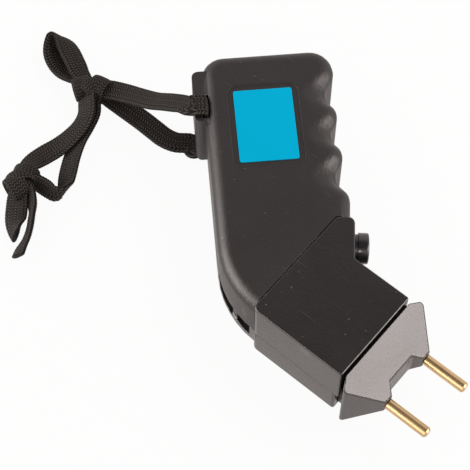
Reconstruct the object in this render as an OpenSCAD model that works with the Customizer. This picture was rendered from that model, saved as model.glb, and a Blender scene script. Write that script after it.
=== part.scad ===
// Pocket cattle prodder: a bent moulded grip with finger scallops, a square head with a push button,
// a wedge nose that carries two brass prongs, and a knotted wrist cord of flat braided lace.
// The grip and the head hold the board, the high-voltage coil and the battery.
// Lengths are in millimetres. The body lies on its flat far side, prongs along +X, grip to the rear.

/* [Body] */
// Thickness from the rest face to the near face
body_t = 40; // [39:0.5:44]
// Height of the parting line above the rest face
split_z = 16; // [15:0.5:17]
// Wall of the mouldings
wall = 2.5; // [2.2:0.1:2.8]
// Gap where two mouldings meet
seam_gap = 0.15; // [0.1:0.05:0.25]
// Angle between the head axis and the grip axis
bend = 45; // [43:1:47]

/* [Head] */
// Length of the head from the seam to its front rim
head_len = 48.5; // [48:0.5:56]
// Width of the head
head_w = 47; // [46.5:0.5:50]
// Rounding of the rear upright corner of the head
head_rear_r = 3; // [2:0.5:4]
// Rounding of the long edges of the head
head_edge_r = 0.8; // [0.5:0.1:1]
// Shadow gap between the head rim and the nose
nose_gap = 1.1; // [0.6:0.1:1.6]

/* [Button boss] */
// Angle of the boss face from square to the head axis
boss_angle = 38; // [37:1:39]
// Distance of the boss face from the seam on the head axis
boss_reach = 29.4; // [29:0.1:31]
// Distance of the button axis along the boss face
button_w = 17.8; // [17.4:0.1:18]
// Depth of the button axis below the near face
button_drop = 12; // [11:0.5:13]
// Diameter of the button cap
button_d = 14; // [13.6:0.2:15]
// Travel of the button
button_travel = 1.5; // [0.8:0.1:1.6]

/* [Grip] */
// Distance from the bend centre to the butt
grip_len = 114; // [113:0.5:122]
// Distance of the back edge from the grip axis
grip_back = 28.75; // [28.5:0.25:31]
// Distance of the sharp finger peaks from the grip axis
grip_front = 33.6; // [32.8:0.2:34.6]
// Spacing of the finger scallops
finger_pitch = 21.5; // [21:0.25:22]
// Depth of the scallops between the sharp corners
finger_depth = 8.7; // [6:0.1:8.8]
// Rounding of the finger peaks and valleys in plan
finger_r = 8.2; // [7:0.1:8.2]
// Rounding of the long edges of the grip
edge_r = 6; // [4.5:0.25:6.25]
// Rounding of the outside of the bend
bend_r = 46; // [40:1:46]

/* [Nose] */
// Length of the nose from its flange to its tip
nose_len = 17.8; // [17:0.2:20]
// Width over the flared edges
wing_w = 56; // [54:0.2:58]
// Width over the front of the nose
nose_tip_w = 31.6; // [31:0.2:34]
// Height of the front face of the nose
nose_tip_h = 8.4; // [8:0.2:10]
// Depth of the notch between the prongs
notch_depth = 4.3; // [2:0.1:5]

/* [Prongs] */
// Diameter of each prong
rod_d = 5; // [4.6:0.1:6]
// Length of each prong outside the nose
rod_len = 21.1; // [18:0.1:26]
// Spacing of the prongs
rod_pitch = 26.7; // [26:0.1:27.5]
// Chamfer of the prong tips
rod_chamfer = 0.7; // [0.3:0.1:1]

/* [Strap lug and label] */
// Thickness of the bar that the cord passes round
bar_t = 3.6; // [3.4:0.1:4]
// Length of the lug along the grip
lug_len = 27; // [26:0.5:29]
// Length of the cord slot
slot_len = 12.2; // [12:0.1:12.8]
// Width of the cord slot
slot_w = 3.4; // [3.3:0.1:3.6]
// Length of the label
label_len = 37.9; // [34:0.1:38.4]
// Width of the label
label_w = 26.9; // [24:0.1:27.4]
// Depth of the label recess
recess_depth = 0.6; // [0.4:0.05:0.8]

/* [Wrist cord] */
// Width of the flat lace
lace_w = 11; // [9.6:0.1:11.4]
// Thickness of the flat lace
lace_t = 2.6; // [2.2:0.1:2.7]

/* [Hidden] */
$fn = 64;
black = [0.06, 0.06, 0.065];
dark = [0.10, 0.10, 0.11];
brass = [0.72, 0.55, 0.25];
steel = [0.62, 0.63, 0.65];
tin = [0.75, 0.75, 0.72];
blue = [0.02, 0.62, 0.84];
green = [0.05, 0.30, 0.15];
copper = [0.62, 0.32, 0.16];
lace_colour = [0.05, 0.05, 0.055];

// Chords per rounded corner and per rounded edge
arc_steps = 6;
head_steps = 4;
edge_steps = 5;
least_r = 0.1;

head_half = head_w / 2;
roof_z = body_t - wall;
button_z = body_t - button_drop;
board_z = split_z + 6;
board_t = 1.6;
deck_z = split_z + 4.6;
deck_t = 1.8;
deck_rear = 3;
deck_front = head_len - 5.5;
deck_half = head_half - wall - 0.3;

function unit(v) = v / norm(v);
function left_of(v) = [-v.y, v.x];
function turned(v, a) = [v.x * cos(a) - v.y * sin(a), v.x * sin(a) + v.y * cos(a)];

// Grip plan to head plan and back
function to_head(p) = turned(p, 180 - bend);
function to_grip(p) = turned(p, bend - 180);

// Rounded corner of a plan outline that is moved inwards by d
function corner_arc(before, here, after, r, d, steps) =
    let (
        u = unit(here - before),
        v = unit(after - here),
        nu = left_of(u),
        nv = left_of(v),
        turn = atan2(u.x * v.y - u.y * v.x, u * v),
        vertex = here + d * (nu + nv) / (1 + nu * nv),
        rc = turn > 0 ? max(r - d, least_r) : r + d,
        start = vertex - u * rc * tan(abs(turn) / 2),
        centre = start + nu * (turn > 0 ? rc : -rc)
    )
    [for (k = [0 : steps]) centre + turned(start - centre, turn * k / steps)];

// Outline through corners of [x, y, radius] that run counter-clockwise
function outline(corners, d = 0, steps = arc_steps) =
    let (n = len(corners), p = [for (c = corners) [c.x, c.y]])
    [for (i = [0 : n - 1])
        each corner_arc(p[(i + n - 1) % n], p[i], p[(i + 1) % n], corners[i].z, d, steps)];

// Sharp corners of the same outline, moved inwards by d
function inset_corners(corners, d) =
    let (n = len(corners), p = [for (c = corners) [c.x, c.y]])
    [for (i = [0 : n - 1])
        let (
            nu = left_of(unit(p[i] - p[(i + n - 1) % n])),
            nv = left_of(unit(p[(i + 1) % n] - p[i]))
        )
        p[i] + d * (nu + nv) / (1 + nu * nv)];

// Rings of [inset, height] for an upright wall of height h that ends in a rounded edge
function edge_rings(inset, h, r, steps) = concat(
    [[inset, 0], [inset, h - r]],
    [for (k = [1 : steps]) [inset + r * (1 - cos(90 * k / steps)), h - r + r * sin(90 * k / steps)]]);

// Head outline, with the button boss on its right
boss_n = [cos(boss_angle), sin(boss_angle)];
boss_w = [-sin(boss_angle), cos(boss_angle)];
function on_boss(n, w) = n * boss_n + w * boss_w;
boss_end = 27.5;
boss_root_x = (boss_reach - head_half * sin(boss_angle)) / cos(boss_angle);
boss_tip = on_boss(boss_reach, boss_end);
boss_seam_y = 34.5;
function head_corners(front) = [
    [0, -head_half, head_rear_r],
    [front, -head_half, 1.2],
    [front, head_half, 1.2],
    [boss_root_x, head_half, 1],
    [boss_tip.x, boss_tip.y, 3],
    [0, boss_seam_y, 1.5]];
cover_front = head_len - 1.9;

// Grip outline in the grip plan: along the grip axis and square to it, back positive
first_valley = 47;
valley_b = finger_depth - grip_front;
last_scallop = floor((grip_len - first_valley - 12) / finger_pitch - 0.5);
function scallop_s(k) = first_valley + finger_pitch * k;
neck_front = to_grip([8, boss_seam_y - 0.1]);
neck_back = to_grip([8, 1 - head_half]);
bend_b = grip_back;
bend_s = (1 - head_half + bend_b * cos(bend)) / sin(bend);
grip_corners = [
    [neck_front.x, neck_front.y, 6.5],
    [scallop_s(-0.5), 1.4 - grip_front, finger_r],
    for (k = [0 : last_scallop]) each [
        if (k > 0) [scallop_s(k - 0.5), -grip_front, finger_r],
        [scallop_s(k), valley_b, finger_r]],
    [scallop_s(last_scallop + 0.5) - 0.25, 1.2 - grip_front, finger_r],
    [grip_len, 2.6 - grip_front, 11],
    [grip_len, grip_back, 10],
    [bend_s, bend_b, bend_r],
    [neck_back.x, neck_back.y, 6.5]];
bend_axis = to_head([bend_s + bend_r * tan(bend / 2), bend_b - bend_r]);

// Nose outline in plan and from the side
nose_x = head_len + nose_gap;
nose_tip_x = nose_x + nose_len;
wing_x = nose_x + 3.4;
notch_w = 14.8;
notch_mouth = 22;
nose_corners = [
    [nose_x, 1.3 - head_half, 0.3],
    [wing_x, -wing_w / 2, 1.6],
    [nose_tip_x - 0.1, -nose_tip_w / 2, 1],
    [nose_tip_x, -notch_mouth / 2, 0.6],
    [nose_tip_x - notch_depth, -notch_w / 2, 0.8],
    [nose_tip_x - notch_depth, notch_w / 2, 0.8],
    [nose_tip_x, notch_mouth / 2, 0.6],
    [nose_tip_x - 0.1, nose_tip_w / 2, 1],
    [wing_x, wing_w / 2, 1.6],
    [nose_x, head_half - 1.3, 0.3]];
nose_flank = 1;
mid_z = body_t / 2;
rod_tip_x = nose_tip_x + rod_len;
rod_shoulder_x = nose_tip_x + 0.05;
shank_d = 4;
nose_cavity_x = nose_x + 6.4;
rod_rear_x = nose_x + 0.9;
tag_x = nose_cavity_x - 0.8;
tail_y = rod_pitch / 2 - 4;

// Strap lug and label places in the grip plan
lug_s = grip_len - 35;
lug_back = grip_back + 4.85;
bar_b = lug_back - bar_t;
lug_low = 4;
lug_top = body_t - 1.5;
slot_s = lug_s + 1.8;
slot_mid = slot_s + slot_len / 2;
slot_b = bar_b - slot_w;
label_s = grip_len - 58.8;
label_b = -11.5;
recess_margin = 2.9;
lug_corners = [
    [lug_s, grip_back - wall - 0.2, 0.5],
    [lug_s + lug_len, grip_back - wall - 0.2, 0.5],
    [lug_s + lug_len, lug_back, 3],
    [lug_s, lug_back, 3]];

// The part is centred over its footprint
plan = concat(
    [for (p = outline(grip_corners)) to_head(p)],
    [for (p = outline(lug_corners)) to_head(p)],
    outline(nose_corners),
    [[rod_tip_x, 0]]);
centre_x = (min([for (p = plan) p.x]) + max([for (p = plan) p.x])) / 2;
centre_y = (min([for (p = plan) p.y]) + max([for (p = plan) p.y])) / 2;

// Board in the grip, the grid that its parts stand on, and the room that they hang in
board_s = 36;
board_len = grip_len - 16 - board_s;
board_b = -17;
board_w = grip_back + 7.25;
col = board_len / 31;
row = board_w / 18;
hang = board_z - wall - 2.5;

// Fastener places
shell_screw_spots = [[grip_len - 8, -18], [grip_len - 8, 16], [31, -22], [25, grip_back - 7.25]];
board_screw_spots = [
    for (s = [board_s + 4, board_s + board_len - 4], b = [board_b + 4, board_b + board_w - 4]) [s, b]];
head_screw_spots = [[5, -7], [5, 4]];
nose_screw_spots = [[head_len - 8.5, -15.5], [head_len - 8.5, 15.5]];
ear_z = max(mid_z + 7.4, deck_z + deck_t + 2.8);
shell_screw_len = split_z + 6;
nose_screw_len = roof_z - ear_z - 1.1;
tray_screw_len = (roof_z - deck_z) * 0.53;
board_screw_len = (roof_z - board_z) * 0.64;

// Skirt behind the finger slot, up to the head
skirt_low_z = split_z - 9.5;
skirt_in = bend_r - wall - 1.4;
skirt_start = 180.5 + bend;
skirt_end = 270 - asin((1 + bend_axis.x) / (bend_r - wall));

// Button stack, measured outwards from the boss face
ring_h = 3.6;
ring_d = button_d - 1.4;
skirt_low = button_travel + 0.1;
cap_ceiling = ring_h + skirt_low;
cap_top = cap_ceiling + 1.4;
barrel_d = 10;
barrel_low = -9.4;
seat_low = barrel_low + 1.5;
stem_d = 4;
switch_half = 6.5;
switch_low = -23.4;

// Battery place in the head plan
battery_len = 48.5;
battery_front = head_len - 6;
battery_rear = battery_front - battery_len;
battery_w = 26.5;
snap_len = 6.2;
snap_w = 24;
snap_side = (battery_w - snap_w) / 2;
bend_room = sqrt(pow(skirt_in - 0.5, 2) - pow(battery_rear - snap_len - bend_axis.x, 2));
battery_y = max(-17.5, bend_axis.y - bend_room - snap_side);
tray_screw_y = max(15.5, battery_y + battery_w + 5);
tray_screw_x = 9 + (tray_screw_y - 15.5) * 1.4;
tray_screw_spots = [[tray_screw_x, tray_screw_y], [head_len - 21.5, tray_screw_y]];
battery_low = 2.8;
battery_h = deck_z - 0.3 - battery_low;
battery_mid_z = battery_low + battery_h / 2;
battery_mid_y = battery_y + battery_w / 2;

coil_rear = 13.5;
coil_front = head_len - 13;
coil_low = deck_z + deck_t;
coil_top = roof_z - 1;
lead_z = min(mid_z + 10.5, roof_z - 6.5);

module at_head() {
    translate([-centre_x, -centre_y, 0]) children();
}

module at_grip() {
    at_head() rotate(180 - bend) children();
}

// Foot of a part that hangs from the board, at a place on the grid
module at_board(k, j) {
    at_grip() translate([board_s + k * col, board_b + j * row, board_z - hang]) children();
}

// Axis of the button, outwards along local z, with its zero on the boss face
module at_button() {
    spot = on_boss(boss_reach, button_w);
    at_head() translate([spot.x, spot.y, button_z]) rotate([0, 90, boss_angle]) children();
}

// Triangles that fill a ring whose corners may point inwards, found by cutting off one ear at a time
function area2(a, b, c) = (b.x - a.x) * (c.y - a.y) - (b.y - a.y) * (c.x - a.x);
function holds(a, b, c, p) = area2(a, b, p) >= 0 && area2(b, c, p) >= 0 && area2(c, a, p) >= 0;
function is_ear(ring, left, i) =
    let (
        n = len(left),
        ia = left[(i + n - 1) % n],
        ib = left[i % n],
        ic = left[(i + 1) % n]
    )
    area2(ring[ia], ring[ib], ring[ic]) > 1e-6
    && len([for (j = left)
        if (j != ia && j != ib && j != ic && holds(ring[ia], ring[ib], ring[ic], ring[j])) 1]) == 0;
function next_ear(ring, left, i) = is_ear(ring, left, i) ? i : next_ear(ring, left, i + 1);
function ears(ring, left, from = 0) =
    len(left) == 3 ? [left] :
    let (
        n = len(left),
        i = next_ear(ring, left, from % n) % n,
        ear = [left[(i + n - 1) % n], left[i], left[(i + 1) % n]]
    )
    concat([ear], ears(ring, [for (j = [0 : n - 1]) if (j != i) left[j]], i + 1));
function fill(ring) = ears(ring, [for (i = [0 : len(ring) - 1]) i]);
function lifted(faces, by) = [for (f = faces) [for (i = f) i + by]];
function turned_over(faces) = [for (f = faces) [f[2], f[1], f[0]]];

// Triangles that fill a ring that bulges all round
function fan(n) = [for (i = [1 : n - 2]) [0, i, i + 1]];

// Solid through a list of rings, each counter-clockwise about the way that the list runs
module skin(sections, first, last) {
    n = len(sections[0]);
    m = len(sections);
    sides = [for (k = [0 : m - 2], i = [0 : n - 1])
        let (a = k * n + i, b = k * n + (i + 1) % n)
        each [[a, a + n, b + n], [a, b + n, b]]];
    polyhedron(
        [for (s = sections) each s],
        concat(first, lifted(turned_over(last), (m - 1) * n), sides));
}

function plan_rings(corners, rings, steps) =
    [for (r = rings) [for (p = outline(corners, r[0], steps)) [p.x, p.y, r[1]]]];

// Rounded block on a plan outline, standing on z = 0
module block(corners, h, r, steps) {
    rings = plan_rings(corners, edge_rings(0, h, r, steps), steps);
    skin(rings, fill(rings[0]), fill(rings[len(rings) - 1]));
}

// Hollow shell of the grip, open at z = 0
module grip_cup(h) {
    outer = plan_rings(grip_corners, edge_rings(0, h, edge_r, edge_steps), arc_steps);
    inner = plan_rings(grip_corners, edge_rings(wall, h - wall, edge_r - wall, edge_steps), arc_steps);
    n = len(outer[0]);
    m = len(outer);
    q = m * n;
    walls = [for (k = [0 : m - 2], i = [0 : n - 1])
        let (a = k * n + i, b = k * n + (i + 1) % n)
        each [[a, a + n, b + n], [a, b + n, b], [q + a, q + b + n, q + a + n], [q + a, q + b, q + b + n]]];
    rim = [for (i = [0 : n - 1])
        let (b = (i + 1) % n)
        each [[i, b, q + b], [i, q + b, q + i]]];
    roof = lifted(turned_over(fill(outer[m - 1])), (m - 1) * n);
    ceiling = lifted(fill(inner[m - 1]), q + (m - 1) * n);
    polyhedron(
        concat([for (s = outer) each s], [for (s = inner) each s]),
        concat(roof, ceiling, walls, rim));
}

// Prism on the outline of the head
module head_prism(d, low, top) {
    translate([0, 0, low]) linear_extrude(top - low) polygon(outline(head_corners(head_len), d, head_steps));
}

module lug(low, top) {
    translate([0, 0, low]) linear_extrude(top - low) polygon(outline(lug_corners));
}

// Block inside the shell that lines the cord slot
module slot_well(low, top) {
    translate([slot_s - 2, slot_b - 2, low]) cube([slot_len + 4, slot_w + 0.2, top - low]);
}

module slot_cut() {
    translate([slot_s, slot_b, -1]) cube([slot_len, slot_w, body_t + 2]);
}

module rounded_plate(s, b, l, w, r, h) {
    linear_extrude(h) polygon(outline([[s, b, r], [s + l, b, r], [s + l, b + w, r], [s, b + w, r]]));
}

// Pan-head screw with a cross recess: its seat is at z = 0 and its shank points up
module screw(shank, head, head_h, length) {
    slot = head * 0.6;
    difference() {
        union() {
            translate([0, 0, -head_h]) cylinder(d = head, h = head_h);
            translate([0, 0, -head_h / 2]) cylinder(d = shank, h = length + head_h / 2);
        }
        translate([-slot / 2, -0.4, -head_h - 1]) cube([slot, 0.8, 1 + head_h * 0.5]);
        translate([-0.4, -slot / 2, -head_h - 1]) cube([0.8, slot, 1 + head_h * 0.5]);
    }
}

// Round wire along a route of points
function wire_ring(route, i, r, sides) =
    let (
        n = len(route) - 1,
        along = unit(route[min(i + 1, n)] - route[max(i - 1, 0)]),
        side = unit(cross(along, [0.31, 0.17, 0.93])),
        normal = cross(along, side)
    )
    [for (k = [0 : sides - 1]) let (a = 360 * k / sides)
        route[i] + r * cos(a) * side + r * sin(a) * normal];

module wire(route, d) {
    skin([for (i = [0 : len(route) - 1]) wire_ring(route, i, d / 2, 8)], fan(8), fan(8));
}

// Flat lace along a route of [x, y, z, tilt]: tilt turns its left edge up from the table.
// Where the route runs straight up or down, the lace keeps the side that it has for the way ahead.
function place(p) = [p.x, p.y, p.z];
function lace_ring(route, i, ahead) =
    let (
        n = len(route) - 1,
        along = unit(place(route[min(i + 1, n)]) - place(route[max(i - 1, 0)])),
        tilt = route[i][3],
        flat = [along.x, along.y, 0],
        level = norm(flat) > 0.25 ? unit(cross([0, 0, 1], flat)) : unit(cross([0, 0, 1], ahead)),
        facing = ahead != undef && level * cross([0, 0, 1], ahead) < 0 ? -level : level,
        rough = cos(tilt) * facing + [0, 0, sin(tilt)],
        normal = unit(cross(along, rough)),
        side = cross(normal, along)
    )
    [for (k = [0 : 9]) let (a = 36 * k + 18)
        place(route[i]) + lace_w / 2 * cos(a) / cos(18) * side + lace_t / 2 * sin(a) * normal];

module lace(route, ahead = undef) {
    color(lace_colour) at_head()
        skin([for (i = [0 : len(route) - 1]) lace_ring(route, i, ahead)], fan(10), fan(10));
}

// Knot of wrapped lace about an axis that lies level at an angle in plan
module knot(spot, angle) {
    wrap_r = 2.9;
    turn_r = 3.9;
    color(lace_colour) at_head() translate(place(spot)) rotate([0, 90, angle]) union() {
        translate([0, 0, -7]) cylinder(r = turn_r + 0.8, h = 14);
        for (k = [-1 : 1])
            translate([0, 0, 5.3 * k]) rotate_extrude() translate([turn_r, 0]) circle(r = wrap_r, $fn = 24);
    }
}

// Near half of the grip, with the screw posts, the board posts, the skirt behind the finger slot
// and the tongue into the head
module grip_shell_near() {
    low = split_z + seam_gap / 2;
    color(black) difference() {
        union() {
            at_grip() translate([0, 0, low]) grip_cup(body_t - low);
            at_grip() lug(low, lug_top);
            at_grip() slot_well(low, lug_top - 0.1);
            at_grip() for (p = shell_screw_spots)
                translate([p.x, p.y, low]) cylinder(d = 7, h = roof_z + 0.5 - low);
            at_grip() for (p = board_screw_spots)
                translate([p.x, p.y, board_z + board_t + 0.1])
                    cylinder(d = 6.5, h = roof_z + 0.5 - board_z - board_t - 0.1);
            at_head() translate([-9, -12, roof_z - 2.7]) cube([8, 21, 3.2]);
        }
        at_head() head_prism(-seam_gap, split_z - 1, body_t + 1);
        at_grip() slot_cut();
        at_grip() translate([0, 0, body_t - recess_depth])
            rounded_plate(label_s - recess_margin, label_b - recess_margin,
                label_len + 2 * recess_margin + 0.1, label_w + 2 * recess_margin, 5, 2);
        at_grip() for (p = shell_screw_spots) translate([p.x, p.y, low - 1]) cylinder(d = 3, h = 14);
        at_grip() for (p = board_screw_spots) translate([p.x, p.y, board_z])
            cylinder(d = 2.2, h = board_screw_len + 1);
    }
    color(black) at_head() translate([bend_axis.x, bend_axis.y, 0]) rotate(skirt_start)
        rotate_extrude(angle = skirt_end - skirt_start) polygon([
            [skirt_in, skirt_low_z],
            [bend_r - wall - 0.3, skirt_low_z],
            [bend_r - wall - 0.3, split_z + 0.6],
            [bend_r - wall + 1, split_z + 0.6],
            [bend_r - wall + 1, split_z + 5],
            [skirt_in, split_z + 5]]);
    color(black) at_head() difference() {
        translate([-5, -12, roof_z - 2.7]) cube([15, 21, 2.5]);
        for (p = head_screw_spots) translate([p.x, p.y, roof_z - 4]) cylinder(d = 6.3, h = 5);
    }
}

// Far half of the grip, from the battery cover to the butt
module grip_shell_far() {
    high = split_z - seam_gap / 2;
    color(black) difference() {
        union() {
            at_grip() translate([0, 0, high]) mirror([0, 0, 1]) grip_cup(high);
            at_grip() lug(lug_low, high);
            at_grip() slot_well(1.6, high);
            at_grip() for (p = shell_screw_spots)
                translate([p.x, p.y, wall - 0.5]) cylinder(d = 9, h = high - wall + 0.5);
        }
        at_grip() translate([-60, -60, -1]) cube([78 + seam_gap, 120, split_z + 2]);
        at_head() head_prism(-seam_gap, -1, split_z + 1);
        at_grip() slot_cut();
        at_grip() for (p = shell_screw_spots) {
            translate([p.x, p.y, -1]) cylinder(d = 3.2, h = split_z + 2);
            translate([p.x, p.y, -1]) cylinder(d = 6.4, h = 5);
        }
    }
}

// Square head with the button boss, open below, to the grip and to the nose
module head_housing() {
    low = split_z + seam_gap / 2;
    color(black) at_head() difference() {
        union() {
            difference() {
                translate([0, 0, low]) block(head_corners(head_len), body_t - low, head_edge_r, head_steps);
                translate([0, 0, low - 1]) linear_extrude(roof_z - low + 1)
                    polygon(inset_corners(head_corners(head_len), wall));
            }
            for (p = head_screw_spots) translate([p.x, p.y, roof_z - 2.6]) cylinder(d = 6, h = 3.1);
            for (p = nose_screw_spots) translate([p.x, p.y, ear_z + 2.6]) cylinder(d = 7, h = roof_z + 0.5 - ear_z - 2.6);
            for (p = tray_screw_spots)
                translate([p.x, p.y, deck_z + deck_t + 0.1]) cylinder(d = 6.5, h = roof_z + 0.4 - deck_z - deck_t);
            for (x = [3, head_len - 10.5])
                translate([x, -head_half + wall - 0.5, deck_z - 2.2]) cube([5, 2.9, 2.1]);
        }
        translate([head_len - wall - 1, -head_half + wall + 0.1, low - 1])
            cube([wall + 3, head_w - 2 * wall - 0.2, roof_z - 0.1 - low + 1]);
        translate([-1, -head_half + 5, low - 1]) cube([wall + 1.5, head_half - 5 + 32, roof_z - 0.1 - low + 1]);
        for (p = head_screw_spots) translate([p.x, p.y, roof_z - 3]) cylinder(d = 3, h = 4.2);
        for (p = nose_screw_spots) translate([p.x, p.y, ear_z + 2]) cylinder(d = 3, h = nose_screw_len - 1);
        for (p = tray_screw_spots) translate([p.x, p.y, deck_z]) cylinder(d = 3, h = tray_screw_len + 1);
        translate([on_boss(boss_reach, button_w).x, on_boss(boss_reach, button_w).y, button_z])
            rotate([0, 90, boss_angle]) translate([0, 0, -wall - 2]) cylinder(d = barrel_d + 0.1, h = wall + 4);
    }
}

// Cover under the head and the bend, with a finger slot and a snap tab on the outside of the bend.
// Its bend stands a hair higher than the floor of its head.
module battery_cover() {
    high = split_z - seam_gap / 2;
    slot_z = split_z / 2;
    step = 0.04;
    color(black) difference() {
        union() {
            difference() {
                at_grip() translate([0, 0, high + step]) mirror([0, 0, 1]) grip_cup(high);
                at_grip() translate([18, -60, -1]) cube([120, 120, split_z + 2]);
                at_head() head_prism(1.2, -1, split_z + 1);
            }
            at_head() difference() {
                translate([0, 0, high]) mirror([0, 0, 1])
                    block(head_corners(cover_front), high, head_edge_r, head_steps);
                translate([0, 0, wall]) linear_extrude(split_z)
                    polygon(inset_corners(head_corners(cover_front), wall));
            }
        }
        at_head() translate([cover_front - wall - 0.5, -head_half + wall + 0.1, wall + 0.1])
            cube([wall + 2, head_w - 2 * wall - 0.2, split_z]);
        at_head() translate([-2, -head_half + 5, wall + 0.1]) cube([wall + 2.5, head_half - 5 + 31, split_z]);
        at_head() translate([bend_axis.x, bend_axis.y, slot_z]) rotate(182 + bend)
            rotate_extrude(angle = bend - 6) translate([bend_r - 4, 0]) square([6, split_z]);
    }
    color(black) at_head() translate([bend_axis.x, bend_axis.y, slot_z - 1]) rotate(251)
        rotate_extrude(angle = 4) translate([bend_r - wall + 0.4, 0]) square([1.6, split_z - slot_z - 0.6]);
}

// Wedge nose with flared edges, a collar into the head and two screw ears
module nose_cap() {
    collar_half = head_half - wall - 0.3;
    collar_low = wall + 1.7;
    collar_top = roof_z - 0.4;
    collar_x = head_len - 5;
    side = [
        [nose_x, nose_flank],
        [nose_tip_x, mid_z - nose_tip_h / 2],
        [nose_tip_x, mid_z + nose_tip_h / 2],
        [nose_x, body_t - nose_flank]];
    color(black) at_head() difference() {
        union() {
            intersection() {
                linear_extrude(body_t) polygon(outline(nose_corners, 0, head_steps));
                translate([0, wing_w / 2 + 5, 0]) rotate([90, 0, 0]) linear_extrude(wing_w + 10) polygon(side);
            }
            difference() {
                translate([collar_x, -collar_half, collar_low])
                    cube([nose_x + 0.8 - collar_x, 2 * collar_half, collar_top - collar_low]);
                translate([collar_x - 1, 2 - collar_half, collar_low + 2])
                    cube([nose_x + 3 - collar_x, 2 * collar_half - 4, collar_top - collar_low - 4]);
            }
            for (k = [-1, 1])
                translate([head_len - 12, k * (collar_half + 11) / 2 - (collar_half - 11) / 2, ear_z])
                    cube([12.5, collar_half - 11, 2.5]);
        }
        translate([nose_x - 1, -rod_pitch / 2 - 4.2, mid_z - 10.5])
            cube([nose_cavity_x - nose_x + 1, rod_pitch + 8.4, 21]);
        for (p = nose_screw_spots) translate([p.x, p.y, ear_z - 1]) cylinder(d = 3.2, h = 5);
        for (k = [-1, 1]) translate([nose_x, k * rod_pitch / 2, mid_z]) rotate([0, 90, 0])
            cylinder(d = shank_d + 0.1, h = nose_len + 1);
    }
}

// Turned prong with a shoulder on the front of the nose and a thin shank through it
module electrode(y) {
    color(brass) at_head() translate([0, y, mid_z]) rotate([0, 90, 0]) rotate_extrude() polygon([
        [0, rod_rear_x],
        [shank_d / 2, rod_rear_x],
        [shank_d / 2, rod_shoulder_x],
        [rod_d / 2, rod_shoulder_x],
        [rod_d / 2, rod_tip_x - rod_chamfer],
        [rod_d / 2 - rod_chamfer, rod_tip_x],
        [0, rod_tip_x]]);
}

module electrode_left() {
    electrode(-rod_pitch / 2);
}

module electrode_right() {
    electrode(rod_pitch / 2);
}

module electrode_nuts() {
    color(steel) at_head() for (k = [-1, 1]) translate([tag_x - 3.3, k * rod_pitch / 2, mid_z]) rotate([0, 90, 0])
        difference() {
            cylinder(d = 8, h = 3.2, $fn = 6);
            translate([0, 0, -1]) cylinder(d = shank_d + 0.1, h = 6);
        }
}

module electrode_tags() {
    color(tin) at_head() for (k = [-1, 1]) translate([tag_x, k * rod_pitch / 2, mid_z]) {
        rotate([0, 90, 0]) difference() {
            cylinder(d = 8, h = 0.7);
            translate([0, 0, -1]) cylinder(d = shank_d + 0.1, h = 3);
        }
        translate([-9.3, -k * 4 - 0.3, -1.7]) cube([10, 0.6, 3.4]);
    }
}

// Push button: domed cap with a skirt and a stem
module button_cap() {
    r = button_d / 2;
    color(dark) at_button() rotate_extrude() polygon(concat(
        [[0, barrel_low - 2], [stem_d / 2, barrel_low - 2], [stem_d / 2, cap_ceiling],
            [ring_d / 2 + 0.05, cap_ceiling], [ring_d / 2 + 0.05, skirt_low], [r, skirt_low], [r, cap_top - 0.7]],
        [for (k = [1 : 4]) [r - 0.7 * (1 - cos(22.5 * k)), cap_top - 0.7 + 0.7 * sin(22.5 * k)]],
        [[r * 0.6, cap_top + 0.25], [r * 0.3, cap_top + 0.4], [0, cap_top + 0.45]]));
}

module button_bush() {
    color(steel) at_button() rotate_extrude() polygon([
        [stem_d / 2 + 0.05, barrel_low],
        [barrel_d / 2, barrel_low],
        [barrel_d / 2, 0],
        [ring_d / 2, 0],
        [ring_d / 2, ring_h - 0.3],
        [ring_d / 2 - 0.3, ring_h],
        [3.5, ring_h],
        [3.5, seat_low],
        [stem_d / 2 + 0.05, seat_low]]);
}

module button_nut() {
    color(steel) at_button() translate([0, 0, -wall - 3.1]) difference() {
        cylinder(d = 13.6, h = 3, $fn = 6);
        translate([0, 0, -1]) cylinder(d = barrel_d + 0.1, h = 5);
    }
}

// Coil spring between the seat in the bush and the underside of the cap
module button_spring() {
    turns = 6;
    wire_d = 0.7;
    low = seat_low + wire_d / 2 + 0.03;
    high = cap_ceiling - wire_d / 2 - 0.03;
    color(steel) at_button() wire([for (k = [0 : 12 * turns]) let (a = 30 * k)
        [2.8 * cos(a), 2.8 * sin(a), low + (high - low) * k / (12 * turns)]], wire_d);
}

module button_clip() {
    color(steel) at_button() translate([0, 0, barrel_low - 1.1]) difference() {
        cylinder(d = 7.4, h = 0.8);
        translate([0, 0, -1]) cylinder(d = stem_d + 0.06, h = 3);
    }
}

module switch_body() {
    color(dark) at_button() difference() {
        translate([-switch_half, -switch_half, switch_low])
            cube([2 * switch_half, 2 * switch_half, barrel_low - 0.03 - switch_low]);
        translate([0, 0, barrel_low - 6.6]) cylinder(d = 8.6, h = 8);
    }
}

module switch_terminals() {
    color(tin) at_button() for (k = [-1, 1])
        translate([-1.5, 3 * k - 0.4, switch_low - 5]) cube([3, 0.8, 4.97]);
}

module label_plate() {
    color(blue) at_grip() translate([0, 0, body_t - recess_depth])
        rounded_plate(label_s, label_b, label_len, label_w, 1.2, 0.4);
}

// Potted high-voltage coil, with a raised rim round its filling
module output_coil() {
    w = 29;
    color(dark) at_head() difference() {
        translate([coil_rear, -19.5, coil_low]) cube([coil_front - coil_rear, w, coil_top - coil_low]);
        translate([coil_rear + 1.5, -18, coil_top - 0.8]) cube([coil_front - coil_rear - 3, w - 3, 2]);
    }
}

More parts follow.
